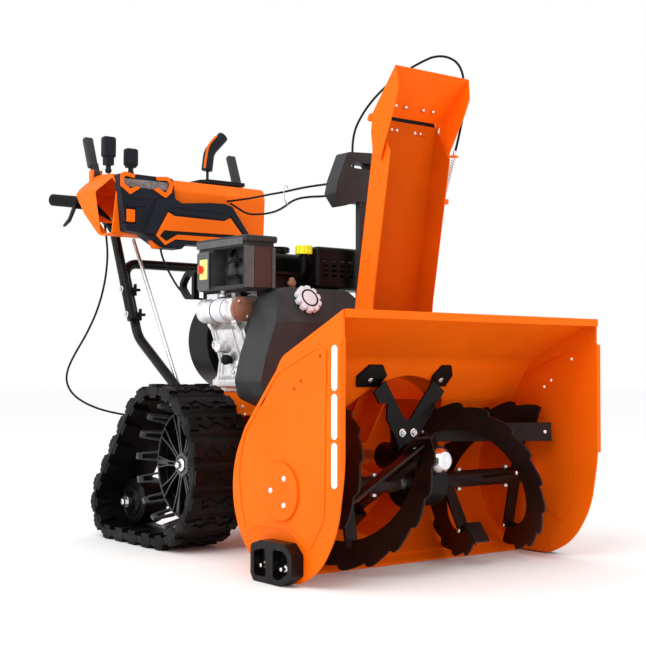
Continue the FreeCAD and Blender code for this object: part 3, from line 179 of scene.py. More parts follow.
def make_materials():
    """One finish for each of the record's slots, and a few more for small details."""
    paints = [
        Paint("orange_paint", (0.93, 0.140, 0.002), 0.5).mottled(9, 0.04)
        .worn(14, 0.06).grain(900, 0.15).shiny(0.08),
        # Painted shade: darker orange that stands for the shade inside the chute's trough.
        Paint("orange_inner", (0.60, 0.086, 0.001), 0.55).mottled(9, 0.06)
        .worn(14, 0.06).grain(900, 0.15).shiny(0.04),
        # Black paint of the flights, with a brownish tint that is a painted reflection of the orange housing.
        Paint("auger_black", (0.0125, 0.0048, 0.0034), 0.36).mottled(20, 0.3)
        .worn(25, 0.08).grain(1100, 0.2).shiny(0.18),
        Paint("black_paint", (0.0042, 0.0035, 0.0034), 0.34).mottled(20, 0.25)
        .worn(25, 0.08).grain(1100, 0.2).shiny(0.16),
        Paint("bare_steel", (0.62, 0.62, 0.63), 0.34, 1.0).mottled(40, 0.1)
        .worn(60, 0.08).grain(500, 0.08, stretch=(1, 1, 0.05)),
        Paint("zinc_steel", (0.80, 0.80, 0.81), 0.22, 1.0).mottled(90, 0.1).worn(90, 0.08),
        Paint("cast_alloy", (0.78, 0.77, 0.77), 0.40, 0.80).mottled(60, 0.14)
        .worn(40, 0.1).grain(650, 0.45, 0.0008),
        Paint("cast_iron", (0.28, 0.28, 0.29), 0.5, 0.9).mottled(50, 0.2).grain(500, 0.4),
        Paint("worm_bronze", (0.62, 0.38, 0.13), 0.35, 1.0).mottled(60, 0.1).worn(40),
        Paint("grey_plastic", (0.034, 0.035, 0.037), 0.5).mottled(30, 0.15)
        .worn(30, 0.06).grain(1500, 0.35, 0.0004).shiny(0.2),
        Paint("fascia_plastic", (0.0095, 0.0120, 0.0185), 0.48).mottled(30, 0.12)
        .worn(30, 0.06).grain(1500, 0.3, 0.0004).shiny(0.14),
        Paint("black_plastic", (0.0040, 0.0040, 0.0042), 0.40).mottled(30, 0.2)
        .worn(30, 0.07).grain(1400, 0.25, 0.0004).shiny(0.15),
        Paint("orange_plastic", (0.93, 0.150, 0.003), 0.45).mottled(12, 0.04)
        .worn(20, 0.05).grain(1300, 0.12).shiny(0.1),
        Paint("red_plastic", (0.75, 0.06, 0.01), 0.3).mottled(60, 0.1).coated(0.4),
        Paint("lens", (0.15, 0.13, 0.13), 0.2, 0.2).mottled(120, 0.35).shiny(0.5),
        Paint("track_rubber", (0.0036, 0.0028, 0.0024), 0.52).mottled(24, 0.3)
        .worn(22, 0.14).grain(420, 0.4, 0.0008).shiny(0.14),
        Paint("black_rubber", (0.006, 0.006, 0.006), 0.6).mottled(50, 0.2)
        .grain(900, 0.4).shiny(0.12),
        Paint("reflective_tape", (0.95, 0.94, 0.92), 0.3).mottled(260, 0.04)
        .grain(700, 0.12),
        Paint("copper", (0.30, 0.14, 0.085), 0.42, 0.35).mottled(50, 0.12).worn(40),
        Paint("silver_label", (0.72, 0.75, 0.80), 0.35).mottled(90, 0.06),
        Paint("yellow_plastic", (0.86, 0.87, 0.03), 0.4).mottled(60, 0.06).grain(900, 0.2).shiny(0.25),
        Paint("label_yellow", (0.86, 0.70, 0.22), 0.45).mottled(90, 0.1).shiny(0.2),
        Paint("wheel_grey", (0.070, 0.070, 0.072), 0.40).mottled(60, 0.15).worn(40),
        Paint("dark_brown", (0.055, 0.022, 0.017), 0.45).mottled(30, 0.2).worn(30).shiny(0.3),
    ]
    return {paint.name: paint.material for paint in paints}


MATERIALS = make_materials()


# ---------------------------------------------------------------- making pieces


def shade(mesh, angle=32):
    """Smooth faces with edges left sharp beyond an angle."""
    mesh.polygons.foreach_set("use_smooth", [True] * len(mesh.polygons))
    mesh.set_sharp_from_angle(angle=math.radians(angle))


def soft_edges(piece, width):
    if width:
        bevel = piece.modifiers.new("edges", "BEVEL")
        bevel.width = width / 1000
        bevel.segments = 2
        bevel.limit_method = "ANGLE"
        bevel.angle_limit = math.radians(32)
        bevel.use_clamp_overlap = True
        bevel.harden_normals = False
    shade(piece.data, 40)


def finish(name, bm, material, body, bevel=0.0, stands_for=()):
    """Turns a bmesh into a piece that rides on a CAD body."""
    bmesh.ops.recalc_face_normals(bm, faces=bm.faces)
    mesh = bpy.data.meshes.new(name)
    bm.to_mesh(mesh)
    bm.free()
    mesh.materials.append(MATERIALS[material])
    piece = add_object(name, mesh)
    soft_edges(piece, bevel)
    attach(piece, body)
    if stands_for:
        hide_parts(*stands_for)


def rounded(points, steps=5):
    """A closed outline whose points (u, v, r) are rounded to r with arcs."""
    loop = []
    for i, point in enumerate(points):
        here = Vector(point[:2])
        if len(point) < 3:
            loop.append(here)
            continue
        before = (Vector(points[i - 1][:2]) - here).normalized()
        after = (Vector(points[(i + 1) % len(points)][:2]) - here).normalized()
        half = before.angle(after) / 2
        centre = here + (before + after).normalized() * (point[2] / math.sin(half))
        first = here + before * (point[2] / math.tan(half)) - centre
        last = here + after * (point[2] / math.tan(half)) - centre
        turn = first.angle_signed(last)
        for k in range(steps + 1):
            loop.append(centre + Matrix.Rotation(-turn * k / steps, 2) @ first)
    return loop


def bridge(bm, low, high):
    """Faces between two closed rings of the same number of points."""
    for i in range(len(low)):
        j = (i + 1) % len(low)
        bm.faces.new((low[i], low[j], high[j], high[i]))


def add_prism(bm, axis, start, length, outline):
    """Adds a closed outline extruded along an axis, in machine millimetres."""
    def spot(u, v, w):
        return {"x": at(w, u, v), "y": at(u, w, v), "z": at(u, v, w)}[axis]
    ends = [[bm.verts.new(spot(p[0], p[1], w)) for p in outline] for w in (start, start + length)]
    bm.faces.new(ends[0])
    bm.faces.new(ends[1][::-1])
    bridge(bm, *ends)


def add_box(bm, low, high):
    """Adds a block between two corners, in machine millimetres."""
    outline = [(low[0], low[1]), (high[0], low[1]), (high[0], high[1]), (low[0], high[1])]
    add_prism(bm, "z", low[2], high[2] - low[2], outline)


def add_hexahedron(bm, corners):
    """Eight corners in the order of three binary digits."""
    a = [bm.verts.new(corner) for corner in corners]
    for quad in ((0, 1, 3, 2), (4, 6, 7, 5), (0, 4, 5, 1), (2, 3, 7, 6), (0, 2, 6, 4), (1, 5, 7, 3)):
        bm.faces.new([a[q] for q in quad])


def add_path_bar(bm, points, y, width, height):
    """A flat bar laid along (x, z) points on a wall that faces the front."""
    for (x0, z0), (x1, z1) in zip(points, points[1:]):
        run = Vector((x1 - x0, z1 - z0))
        side = Vector((-run.y, run.x)).normalized() * width / 2
        corners = []
        for x, z in ((x0, z0), (x1, z1)):
            for k in (-1, 1):
                for depth in (0, -height):
                    corners.append(at(x + side.x * k, y + depth, z + side.y * k))
        add_hexahedron(bm, corners)


def add_lathe(bm, centre, axis, profile, segments=40, caps=True):
    """Adds a turned shape; the profile lists (distance along the axis, radius) in millimetres."""
    turn = Z.rotation_difference(Vector(axis)).to_matrix()
    rings = []
    for along, radius in profile:
        ring = []
        for i in range(segments):
            angle = 2 * math.pi * i / segments
            spot = Vector((radius * math.cos(angle), radius * math.sin(angle), along)) / 1000
            ring.append(bm.verts.new(centre + turn @ spot))
        rings.append(ring)
    for low, high in zip(rings, rings[1:]):
        bridge(bm, low, high)
    if caps:
        bm.faces.new(rings[0][::-1])
        bm.faces.new(rings[-1])


def add_bolt(bm, centre, axis, radius=7.0, height=5.0):
    """Flanged hexagon head with a short domed end."""
    flange = [(0, radius * 1.35), (1.4, radius * 1.3), (1.8, radius * 1.05)]
    add_lathe(bm, centre, axis, flange, 20)
    top = centre + Vector(axis).normalized() * 0.0016
    hexagon = [(0, radius), (height * 0.8, radius), (height, radius * 0.82)]
    add_lathe(bm, top, axis, hexagon, 6)
    add_lathe(bm, top, axis, [(height, radius * 0.5), (height * 1.35, radius * 0.4)], 12)


def add_dome(bm, centre, axis, radius=6.0, height=3.5):
    """Carriage bolt head."""
    steps = [(0, radius)]
    steps += [(height * math.sin(a), radius * math.cos(a)) for a in (0.4, 0.8, 1.2, 1.5)]
    add_lathe(bm, centre, axis, steps, 18)


def line_piece(name, points, radius, material):
    """A round cable, hose or wire along a smooth route."""
    curve = bpy.data.curves.new(name, "CURVE")
    curve.dimensions = "3D"
    curve.bevel_depth = radius / 1000
    curve.bevel_resolution = 6
    curve.use_fill_caps = True
    spline = curve.splines.new("NURBS")
    spline.points.add(len(points) - 1)
    for point, place in zip(spline.points, points):
        point.co = (*at(*place), 1)
    spline.order_u = 3
    spline.use_endpoint_u = True
    spline.resolution_u = 8
    curve.materials.append(MATERIALS[material])
    return add_object(name, curve)


def fixed_line(name, points, radius, material, body):
    """A line piece that rides on one body."""
    piece = line_piece(name, points, radius, material)
    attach(piece, body)
    return piece


def as_mesh(piece):
    """A curve piece turned into a mesh piece of the same name."""
    bpy.context.view_layer.update()
    graph = bpy.context.evaluated_depsgraph_get()
    mesh = bpy.data.meshes.new_from_object(piece.evaluated_get(graph))
    name = piece.name
    bpy.data.objects.remove(piece)
    shade(mesh)
    return add_object(name, mesh)


def softened(node, width, material=None):
    """A CAD node's own shape with its edges eased, which stands for the node."""
    mesh = frame["nodes"][node].data.copy()
    bm = bmesh.new()
    bm.from_mesh(mesh)
    bmesh.ops.remove_doubles(bm, verts=bm.verts, dist=2e-6)
    bmesh.ops.dissolve_limit(bm, angle_limit=math.radians(0.6), verts=bm.verts, edges=bm.edges)
    bm.to_mesh(mesh)
    bm.free()
    mesh.materials.clear()
    mesh.materials.append(MATERIALS[material or SLOT_OF[node]])
    piece = add_object(node + "_eased", mesh)
    soft_edges(piece, width)
    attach(piece, BODY_OF[node])
    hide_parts(node)


def dress_cad():
    """Every carried-over CAD node gets its slot's finish."""
    for name, thing in frame["nodes"].items():
        thing.data.materials.clear()
        thing.data.materials.append(MATERIALS[SLOT_OF[name]])


# ---------------------------------------------------------------- tracks


class Loop:
    """The belt's path in its side view, round the drive wheel and the idler."""

    def __init__(self):
        low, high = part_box("track_belt_left")
        self.radius = (high.z - low.z) / 2 * 1000
        hub, idler = middle("drive_wheel_left"), middle("idler_wheel_left")
        self.big = Vector(((hub.y - FRONT) * 1000, hub.z * 1000))
        self.small = Vector(((idler.y - FRONT) * 1000, idler.z * 1000))
        self.tip = (high.y - idler.y) * 1000
        run = self.small - self.big
        self.heading = math.atan2(run.y, run.x)
        self.lean = math.acos((self.radius - self.tip) / run.length)
        self.straight = math.sqrt(run.length ** 2 - (self.radius - self.tip) ** 2)
        self.big_arc = (2 * math.pi - 2 * self.lean) * self.radius
        self.small_arc = 2 * self.lean * self.tip
        self.length = self.big_arc + self.small_arc + 2 * self.straight

    def leave(self, centre, radius, angle, run=0.0):
        """The point at a radius and angle round a wheel, moved run along the belt."""
        out = Vector((math.cos(angle), math.sin(angle)))
        return centre + out * radius + Vector((-out.y, out.x)) * run

    def spot(self, s, depth):
        """(y, z) at distance s along the outer face, depth millimetres inside it."""
        s %= self.length
        big, tip = self.radius - depth, self.tip - depth
        if s < self.big_arc:
            return self.leave(self.big, big, self.heading + self.lean + s / self.radius)
        s -= self.big_arc
        if s < self.straight:
            return self.leave(self.big, big, self.heading - self.lean, s)
        s -= self.straight
        if s < self.small_arc:
            return self.leave(self.small, tip, self.heading - self.lean + s / self.tip)
        return self.leave(self.small, tip, self.heading + self.lean, s - self.small_arc)


def add_lug(bm, loop, side, outline, low, high, draft):
    """A lug on the belt: outline of (x, s), from depth low up to depth high."""
    centre = sum((Vector(p) for p in outline), Vector((0, 0))) / len(outline)
    rings = []
    for depth, shrink in ((low, 0.0), (high, draft)):
        ring = []
        for u, s in outline:
            inward = centre - Vector((u, s))
            moved = Vector((u, s)) + inward.normalized() * min(shrink, inward.length * 0.4)
            y, z = loop.spot(moved.y, depth)
            ring.append(bm.verts.new(at(side * moved.x, y, z)))
        rings.append(ring)
    bm.faces.new(rings[0])
    bm.faces.new(rings[1][::-1])
    bridge(bm, *rings)


def add_band(bm, loop, sign, inner, outer):
    """The belt itself, a closed strip with a groove between segments."""
    count = TRACK_SEGMENTS * STEPS_PER_SEGMENT
    rows = []
    for i in range(count):
        joint = i % STEPS_PER_SEGMENT == 0
        groove = 3.5 if joint else 0.0
        edge = 3.0 if joint else 0.0
        section = [(inner, 25), (inner + edge, 9 + groove), (inner + 3, 7 + groove)]
        section += [(outer - 4, 7 + groove), (outer - edge, 9 + groove), (outer, 25)]
        row = []
        for x, depth in section:
            y, z = loop.spot(loop.length * i / count, depth)
            row.append(bm.verts.new(at(sign * x, y, z)))
        rows.append(row)
    for i, row in enumerate(rows):
        bridge(bm, row, rows[(i + 1) % count])


def add_tread(bm, loop, sign, inner, outer, i):
    """One segment's wavy bar, three blocks, two edge tabs and the rib inside the belt."""
    pitch = loop.length / TRACK_SEGMENTS
    width = outer - inner
    s = pitch * (i + 0.5)
    flip = 1 if i % 2 else -1
    wave = [(0.0, 0), (0.2, 0), (0.33, 10), (0.44, -3), (0.5, -7)]
    wave += [(0.56, -3), (0.67, 10), (0.8, 0), (1, 0)]
    top = [(inner + width * u, s + flip * v + 6) for u, v in wave]
    bottom = [(inner + width * u, s + flip * v - 5) for u, v in wave]
    for k in range(len(wave) - 1):
        height = 0.6 if k in (0, 7) else 1.4 + k % 2
        add_lug(bm, loop, sign, [bottom[k], bottom[k + 1], top[k + 1], top[k]], 9, height, 0.8)
    for u in (0.26, 0.5, 0.74):
        x = inner + width * (u + 0.03 * flip)
        block = [(-11, -4), (-5, -8), (7, -8), (12, -4), (8, 3), (-8, 3)]
        add_lug(bm, loop, sign, [(x + a, s - flip * 15 + v) for a, v in block], 9, 2.2, 1.2)
    for u in (inner + 1, outer - 25):
        long, short = pitch * 0.33, pitch * 0.27
        tab = [(u, s - long), (u + 24, s - short), (u + 24, s + short), (u, s + long)]
        add_lug(bm, loop, sign, tab, 9, 0.3, 1.2)
    rib = [(outer - 52, s - 3), (outer - 1, s - 18), (outer - 1, s + 18), (outer - 52, s + 3)]
    add_lug(bm, loop, sign, rib, 24, 33, 2)


def make_track(side_name, sign, loop):
    """Rubber belt of jointed segments with its tread."""
    low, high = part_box("track_belt_left")
    inner, outer = low.x * 1000, high.x * 1000
    band = bmesh.new()
    add_band(band, loop, sign, inner, outer)
    for i in range(TRACK_SEGMENTS):
        add_tread(band, loop, sign, inner, outer, i)
    belt = "track_belt_" + side_name
    finish("track_" + side_name, band, "track_rubber", "carriage", 0.7, stands_for=[belt])


def spoke_bar(bm, hub, sign, turn, line, depths):
    """A bar lying along the wheel's face: line of (radius, offset), depths of (x, half width)."""
    for (r0, w0), (r1, w1) in zip(line, line[1:]):
        corners = []
        for r, w in ((r0, w0), (r1, w1)):
            for x, half in depths:
                for k in (-1, 1):
                    spot = turn @ Vector((0, w + k * half, r))
                    corners.append(hub + Vector((sign * (x - 0.04 * r), spot.y, spot.z)) / 1000)
        add_hexahedron(bm, corners)


def add_prong(bm, hub, sign, turn, stations, radii, widths):
    """A tapering finger; each station is (x, rise, pinch) of its two radii and two widths."""
    corners = []
    for x, rise, pinch in stations:
        for radius in radii:
            for width in widths:
                spot = turn @ Vector((0, width * pinch, radius + rise))
                corners.append(hub + Vector((sign * x, spot.y, spot.z)) / 1000)
    add_hexahedron(bm, corners)


def add_wheel_disc(bm, hub, axis):
    """Rim, dish, hub and the raised ring inside the rim."""
    rim = [(198, 124), (198, 133), (246, 133), (250, 130), (250, 126), (246, 124), (198, 124)]
    add_lathe(bm, hub, axis, rim, 72, False)
    dish = [(222, 125), (222, 118), (229, 60), (236, 30), (236, 0.1), (216, 0.1), (216, 125)]
    add_lathe(bm, hub, axis, dish, 60, False)
    add_lathe(bm, hub, axis, [(56, 14), (206, 14), (206, 30), (252, 30), (258, 27), (258, 0.1)], 36)
    add_lathe(bm, hub, axis, [(240, 104), (244, 103), (244, 100), (236, 99)], 72, False)


def make_drive_wheel(side_name, sign):
    """Dished wheel: hexagon hub, paired spokes, rim and forked prongs that drive the belt."""
    node = "drive_wheel_" + side_name
    hub = Vector((0, middle(node).y, middle(node).z))
    axis = X * sign
    dark, grey, silver = bmesh.new(), bmesh.new(), bmesh.new()
    add_wheel_disc(dark, hub, axis)
    for i in range(WHEEL_SPOKES):
        turn = Matrix.Rotation(2 * math.pi * (i + 0.5) / WHEEL_SPOKES, 3, "X")
        for lean in (-1, 1):
            line = [(24, lean * 3.4), (72, lean * 5), (126, lean * 14)]
            spoke_bar(dark, hub, sign, turn, line, ((258, 1.7), (226, 2.6)))
            spoke_bar(grey, hub, sign, turn, line, ((259.2, 1.6), (257, 1.9)))
        if i % 2:
            spoke_bar(grey, hub, sign, turn, [(78, 0), (124, 0)], ((255, 5.0), (251, 7.5)))
    add_lathe(grey, hub, axis, [(249, 130.6), (251.5, 130), (251.5, 127), (249, 126.4)], 72, False)
    for i in range(WHEEL_PRONGS):
        turn = Matrix.Rotation(2 * math.pi * (i + 0.25) / WHEEL_PRONGS, 3, "X")
        for widths in ((-13, -8), (8, 13)):
            add_prong(grey, hub, sign, turn, ((246, 0, 1.0), (298, 12, 0.62)), (128, 137), widths)
        tie = ((288, 10, 0.66), (300, 12, 0.6))
        add_prong(grey, hub, sign, turn, tie, (128.5, 137), (-12.5, 12.5))
    add_lathe(grey, hub, axis, [(250, 31), (261, 31), (262, 28), (262, 21)], 6)
    add_lathe(dark, hub, axis, [(262, 21), (262.6, 21), (262.6, 18)], 6)
    add_lathe(silver, hub, axis, [(260, 16), (264, 16), (266, 12), (266, 8)], 24)
    add_lathe(silver, hub, axis, [(265, 9), (274, 9), (276, 6)], 6)
    finish("wheel_body_" + side_name, dark, "black_plastic", "drive_wheels", 0.6, stands_for=[node])
    finish("wheel_spokes_" + side_name, grey, "wheel_grey", "drive_wheels", 0.4)
    finish("wheel_bolt_" + side_name, silver, "zinc_steel", "drive_wheels", 0.5)


def make_idler(side_name, sign):
    """Dished idler on the bolt that the carriage holds."""
    node = "idler_wheel_" + side_name
    hub = Vector((0, middle(node).y, middle(node).z))
    axis = X * sign
    disc = bmesh.new()
    profile = [(200, 10.2), (200, 55), (206, 57), (262, 57), (265, 55), (266, 51), (269, 49), (269, 46)]
    profile += [(265, 43), (265, 36), (269, 34), (271, 24), (267, 20), (270, 15), (273, 14), (273, 10.2)]
    add_lathe(disc, hub, axis, profile, 56, False)
    finish("idler_" + side_name, disc, "black_plastic", "idler_" + side_name, 0.4, stands_for=[node])
    bolt = bmesh.new()
    add_lathe(bolt, hub, axis, [(273.5, 13), (284, 13), (285, 16), (288, 16), (288, 11)], 24)
    add_lathe(bolt, hub, axis, [(288, 10), (297, 10), (299, 7)], 6)
    finish("idler_bolt_" + side_name, bolt, "zinc_steel", "carriage", 0.4)


# ---------------------------------------------------------------- augers


def ribbon_spot(x, radius, angle):
    """A point at a radius and angle about the auger's axis, in the frame."""
    axle = middle("auger_shaft")
    reach = radius / 1000
    return Vector((x / 1000, axle.y + reach * math.cos(angle), axle.z + reach * math.sin(angle)))


def add_ribbon(bm, x_start, x_end, start, end):
    """Serrated helical flight 5 mm thick, its teeth raked along its sweep."""
    steps = 132
    tooth = 12
    rows = []
    for i in range(steps + 1):
        share = i / steps
        x = x_start + (x_end - x_start) * share
        angle = start + (end - start) * share
        rake = (i % tooth) / tooth
        notch = 11 * (1 - min(rake * 1.25, 1)) if i % tooth else 1
        tip = FLIGHT_TIP - notch
        row = [ribbon_spot(x + side, FLIGHT_ROOT, angle) for side in (-2.5, 2.5)]
        row += [ribbon_spot(x + side, tip, angle) for side in (2.5, -2.5)]
        rows.append([bm.verts.new(p) for p in row])
    for low, high in zip(rows, rows[1:]):
        bridge(bm, low, high)
    bm.faces.new(rows[0][::-1])
    bm.faces.new(rows[-1])


def add_bar(bm, x, angle, width, inner, outer, thick):
    """Flat bar standing out from the auger's axis."""
    axle = middle("auger_shaft")
    turn = Matrix.Rotation(angle, 3, "X")
    corners = []
    for u in (-width / 2, width / 2):
        for r in (inner, outer):
            for w in (-thick / 2, thick / 2):
                spot = turn @ Vector((u, r, w)) / 1000
                corners.append(Vector((x / 1000, axle.y, axle.z)) + spot)
    add_hexahedron(bm, corners)


def add_rake(bm, sign, start, end):
    """Straight flat bar from one flight's inner end to the other flight's outer end."""
    low = ribbon_spot(sign * (FLIGHT_NEAR + 12), RAKE_RADIUS, start)
    high = ribbon_spot(sign * (FLIGHT_FAR + 10), RAKE_RADIUS, end)
    axle = middle("auger_shaft")
    along = high - low
    out = (low + high) / 2 - Vector((sign * 0.192, axle.y, axle.z))
    across = (out - along * (out.dot(along) / along.dot(along))).normalized()
    thick = along.cross(across).normalized() * 0.006
    corners = []
    for end_point in (low, high):
        for w in (-0.034, 0.008):
            corners += [end_point + across * w, end_point + across * w + thick]
    add_hexahedron(bm, corners)
    screws = []
    for share in (0.04, 0.95):
        spot = low.lerp(high, share) + across * -0.013
        screws += [spot, spot + thick]
    return screws, thick.normalized()


def make_auger(side_name, sign):
    """Pipe, two serrated flights with spokes and paddles, and the rake bar between them."""
    turn, first = math.radians(FLIGHT_TURN), math.radians(FLIGHT_START[side_name])
    bm, screws = bmesh.new(), bmesh.new()
    axle = middle("auger_shaft")
    foot = Vector(((60 if sign > 0 else -316) / 1000, axle.y, axle.z))
    pipe = [(0, 15), (0, PIPE_RADIUS), (256, PIPE_RADIUS), (256, 15)]
    add_lathe(bm, foot, X, pipe, 28, False)
    for start in (first, first + math.pi):
        add_ribbon(bm, sign * FLIGHT_NEAR, sign * FLIGHT_FAR, start, start + turn)
        for share in (0.04, 0.5, 0.96):
            x = sign * (FLIGHT_NEAR + (FLIGHT_FAR - FLIGHT_NEAR) * share)
            x = min(max(x, -301), 301)
            angle = start + turn * share
            add_bar(bm, x, angle, 30, 16, 122, 7)
            add_dome(screws, ribbon_spot(x, 118, angle) + X * 0.016 * -sign, X * -sign, 5, 3)
        add_bar(bm, sign * (FLIGHT_NEAR + 22), start, 44, 112, 160, 6)
    spots, facing = add_rake(bm, sign, first + 0.06, math.radians(RAKE_END[side_name]))
    for i, spot in enumerate(spots):
        add_dome(screws, spot, facing * (1 if i % 2 else -1), 5, 3)
    # The flights' brownish black holds a painted reflection of the orange housing.
    finish("flights_" + side_name, bm, "auger_black", "auger", 0.8,
           stands_for=["auger_" + side_name])
    finish("flight_bolts_" + side_name, screws, "zinc_steel", "auger", 0.3)


# ---------------------------------------------------------------- cables


def make_cables():
    """The four cables that leave the console."""
    routes = [
        [(108, 1110, 889), (98, 1030, 884), (88, 945, 880), (74, 860, 877), (62, 775, 873),
         (51, 690, 872), (43, 620, 869), (40, 556.3, 866)],
        [(120, 1112, 884), (126, 1072, 862), (124, 1030, 846), (116, 970, 839), (100, 895, 833),
         (82, 815, 834), (64, 735, 850), (50, 650, 846), (42, 600, 840), (40, 556.3, 837)],
        [(-85, 1152, 769), (-88, 1142, 737), (-95, 1104, 700), (-103, 1056, 662),
         (-112, 1000, 625), (-122, 930, 600), (-124, 848.3, 592)],
        [(-222, 1210, 806), (-228, 1182, 752), (-240, 1158, 700), (-250, 1154, 640),
         (-258, 1176, 574), (-264, 1226, 512), (-268, 1284, 462), (-268, 1330, 420),
         (-264, 1350, 384), (-256, 1330, 350), (-244, 1280, 326), (-226, 1215, 308),
         (-206, 1140, 298), (-182, 1060, 291), (-160, 985, 286)],
    ]
    for i, route in enumerate(routes):
        name = "control_cable_%d" % i
        piece = fixed_line(name, route, CABLE_RADIUS, "black_rubber", "machine")
        if i == 0:
            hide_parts("control_cables")


def hood_sheath(name, route):
    """One half of the hood's cable, turned into a mesh in place."""
    piece = as_mesh(line_piece(name, route, CABLE_RADIUS, "black_rubber"))
    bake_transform(piece)
    return piece


def make_hood_cable():
    """Sheath from the tower over the hood to the hood's tab."""
    rear = [(118, 560, 905), (122, 580, 985), (140, 545, 1060), (165, 480, 1118)]
    rear += [(188, 405, 1152), (198, 368, 1160)]
    fore = [(198, 368, 1160), (205, 335, 1163), (214, 280, 1130), (216, 270, 1060)]
    fore += [(212, 277, 985), (206, 296, 918)]
    piece = hood_sheath("hood_cable_rear", rear)
    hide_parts("deflector_cable")
    hood_sheath("hood_cable_front", fore)


def make_hood_spring():
    """Coil between the hood's tab and the chute's, under the cable's ferrule."""
    turns, samples, radius = 16, 14, 0.0042
    start, end = at(206, 299, 909), at(206, 332, 822)
    along = (end - start).normalized()
    side = along.cross(X).normalized()
    coil = []
    for i in range(turns * samples + 1):
        share = i / (turns * samples)
        angle = 2 * math.pi * turns * share
        offset = (X * math.cos(angle) + side * math.sin(angle)) * radius
        coil.append(start + (end - start) * share + offset)
    curve = bpy.data.curves.new("hood_spring", "CURVE")
    curve.dimensions = "3D"
    curve.bevel_depth = 0.0011
    spline = curve.splines.new("POLY")
    spline.points.add(len(coil) - 1)
    for point, place in zip(spline.points, coil):
        point.co = (*place, 1)
    curve.materials.append(MATERIALS["bare_steel"])
    spring = as_mesh(add_object("hood_spring", curve))
    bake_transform(spring)
    ferrule = bmesh.new()
    sleeve = [(0, 3.4), (1, 4.2), (14, 4.2), (16, 3.4)]
    add_lathe(ferrule, at(206, 293.5, 928), (0, 0.27, -1), sleeve, 16)
    finish("hood_ferrule", ferrule, "zinc_steel", "deflector", 0.2)


# ---------------------------------------------------------------- engine


def make_starter():
    """Cast motor body with a blank label between two bands, and a dark end cap."""
    low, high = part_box("starter_motor")
    centre = Vector(((low.x + high.x) / 2, low.y, (low.z + high.z) / 2))
    case = bmesh.new()
    profile = [(9, 27), (11, 30), (24, 30), (26, 28.4), (46, 28.4), (48, 30), (52, 30)]
    profile += [(54, 28), (116, 28), (120, 30), (160, 30), (164, 26)]
    add_lathe(case, centre, Y, profile, 48)
    add_box(case, (-188, 700, 580), (-166, 744, 598))
    add_lathe(case, at(-176, 690, 590), Z, [(0, 9), (6, 9), (8, 6), (16, 6)], 16)
    for angle in (0.6, 2.4, 4.4):
        spot = Vector((math.cos(angle), 0, math.sin(angle))) * 0.031
        add_lathe(case, centre + spot + Y * 0.010, Y, [(0, 4.5), (20, 4.5)], 12)
    finish("starter_case", case, "cast_alloy", "machine", 0.6,
           stands_for=["starter_motor"])
    label = bmesh.new()
    add_lathe(label, centre, Y, [(56, 27.9), (56, 28.5), (100, 28.5), (100, 27.9)], 48, False)
    finish("starter_label", label, "silver_label", "machine")
    bands = bmesh.new()
    for start in (53, 100):
        band = [(start, 28), (start, 29.2), (start + 3, 29.2), (start + 3, 28)]
        add_lathe(bands, centre, Y, band, 48, False)
    finish("starter_bands", bands, "black_rubber", "machine", 0.2)
    cap = bmesh.new()
    add_lathe(cap, centre, Y, [(0, 26), (1.5, 29), (9, 30)], 48)
    finish("starter_cap", cap, "copper", "machine", 0.5)
    screws = bmesh.new()
    for x, z in ((-11, 17), (13, -18)):
        add_lathe(screws, centre + Vector((x, 0.6, z)) / 1000, -Y, [(0, 4.6), (2.4, 4.4), (3.2, 3)], 6)
    finish("starter_screws", screws, "zinc_steel", "machine", 0.3)


def flange_spot(crank, angle):
    """Place of a crankcase flange bolt at an angle about the crankshaft."""
    turn = math.radians(angle)
    return at(FLANGE_RADIUS * math.cos(turn), 604, crank + FLANGE_RADIUS * math.sin(turn))


def make_casting(crank):
    """Cast crankcase: cooling ribs, flanges, bosses, plates, struts and feet."""
    cast = bmesh.new()
    for i in range(9):
        angle = math.radians(150 + 14 * i)
        out = Vector((math.cos(angle), 0, math.sin(angle)))
        base = at(0, 640, crank) + out * 0.088
        add_lathe(cast, base - Y * 0.036, Y, [(0, 4), (2, 6), (158, 6), (160, 4)], 10)
    for y in (612, 650, 700, 760):
        flange = [(0, 90), (0, 96), (5, 97), (10, 96), (10, 90)]
        add_lathe(cast, at(0, y, crank), Y, flange, 64, False)
    for angle in FLANGE_BOLTS:
        add_lathe(cast, flange_spot(crank, angle), Y, [(0, 9), (2, 11), (44, 11), (48, 9)], 20)
    for y, z, r in ((781, 478, 9), (668, 505, 11), (655, 425, 9), (700, 520, 8)):
        face = -140 if z > 450 else -128
        boss = [(0, r + 3), (9, r + 3), (10, r), (10, r - 3), (4, r - 4)]
        add_lathe(cast, at(face + 6, y, z), -X, boss, 24)
    plate = [(-70, 378), (-140, 378), (-134, 404), (-129, 440), (-142, 480), (-154, 514), (-70, 540)]
    for y in (652, 688, 762, 776):
        add_prism(cast, "y", y, 5, plate)
    add_lathe(cast, at(-130, 741, 471), -X, [(0, 15), (14, 15), (17, 13), (30, 13), (32, 10)], 24)
    add_lathe(cast, at(-124, 700, 410), -X, [(0, 30), (6, 30), (8, 26), (8, 18), (5, 17)], 30)
    arm = [(-170, 530, 6), (-128, 540, 8), (-96, 500, 10), (-92, 470, 6), (-118, 470, 8), (-150, 506, 8)]
    for y, thick in ((650, 16), (764, 14)):
        add_prism(cast, "y", y, thick, rounded(arm, 4))
    foot = rounded([(-116, 366, 3), (-116, 402, 6), (-92, 424, 10), (-60, 424, 3), (-60, 366, 3)], 4)
    for y in (614, 700, 770):
        add_prism(cast, "y", y, 14, foot)
    add_box(cast, (-118, 612, 363), (96, 796, 373))
    finish("crankcase_casting", cast, "cast_alloy", "machine", 1.2)


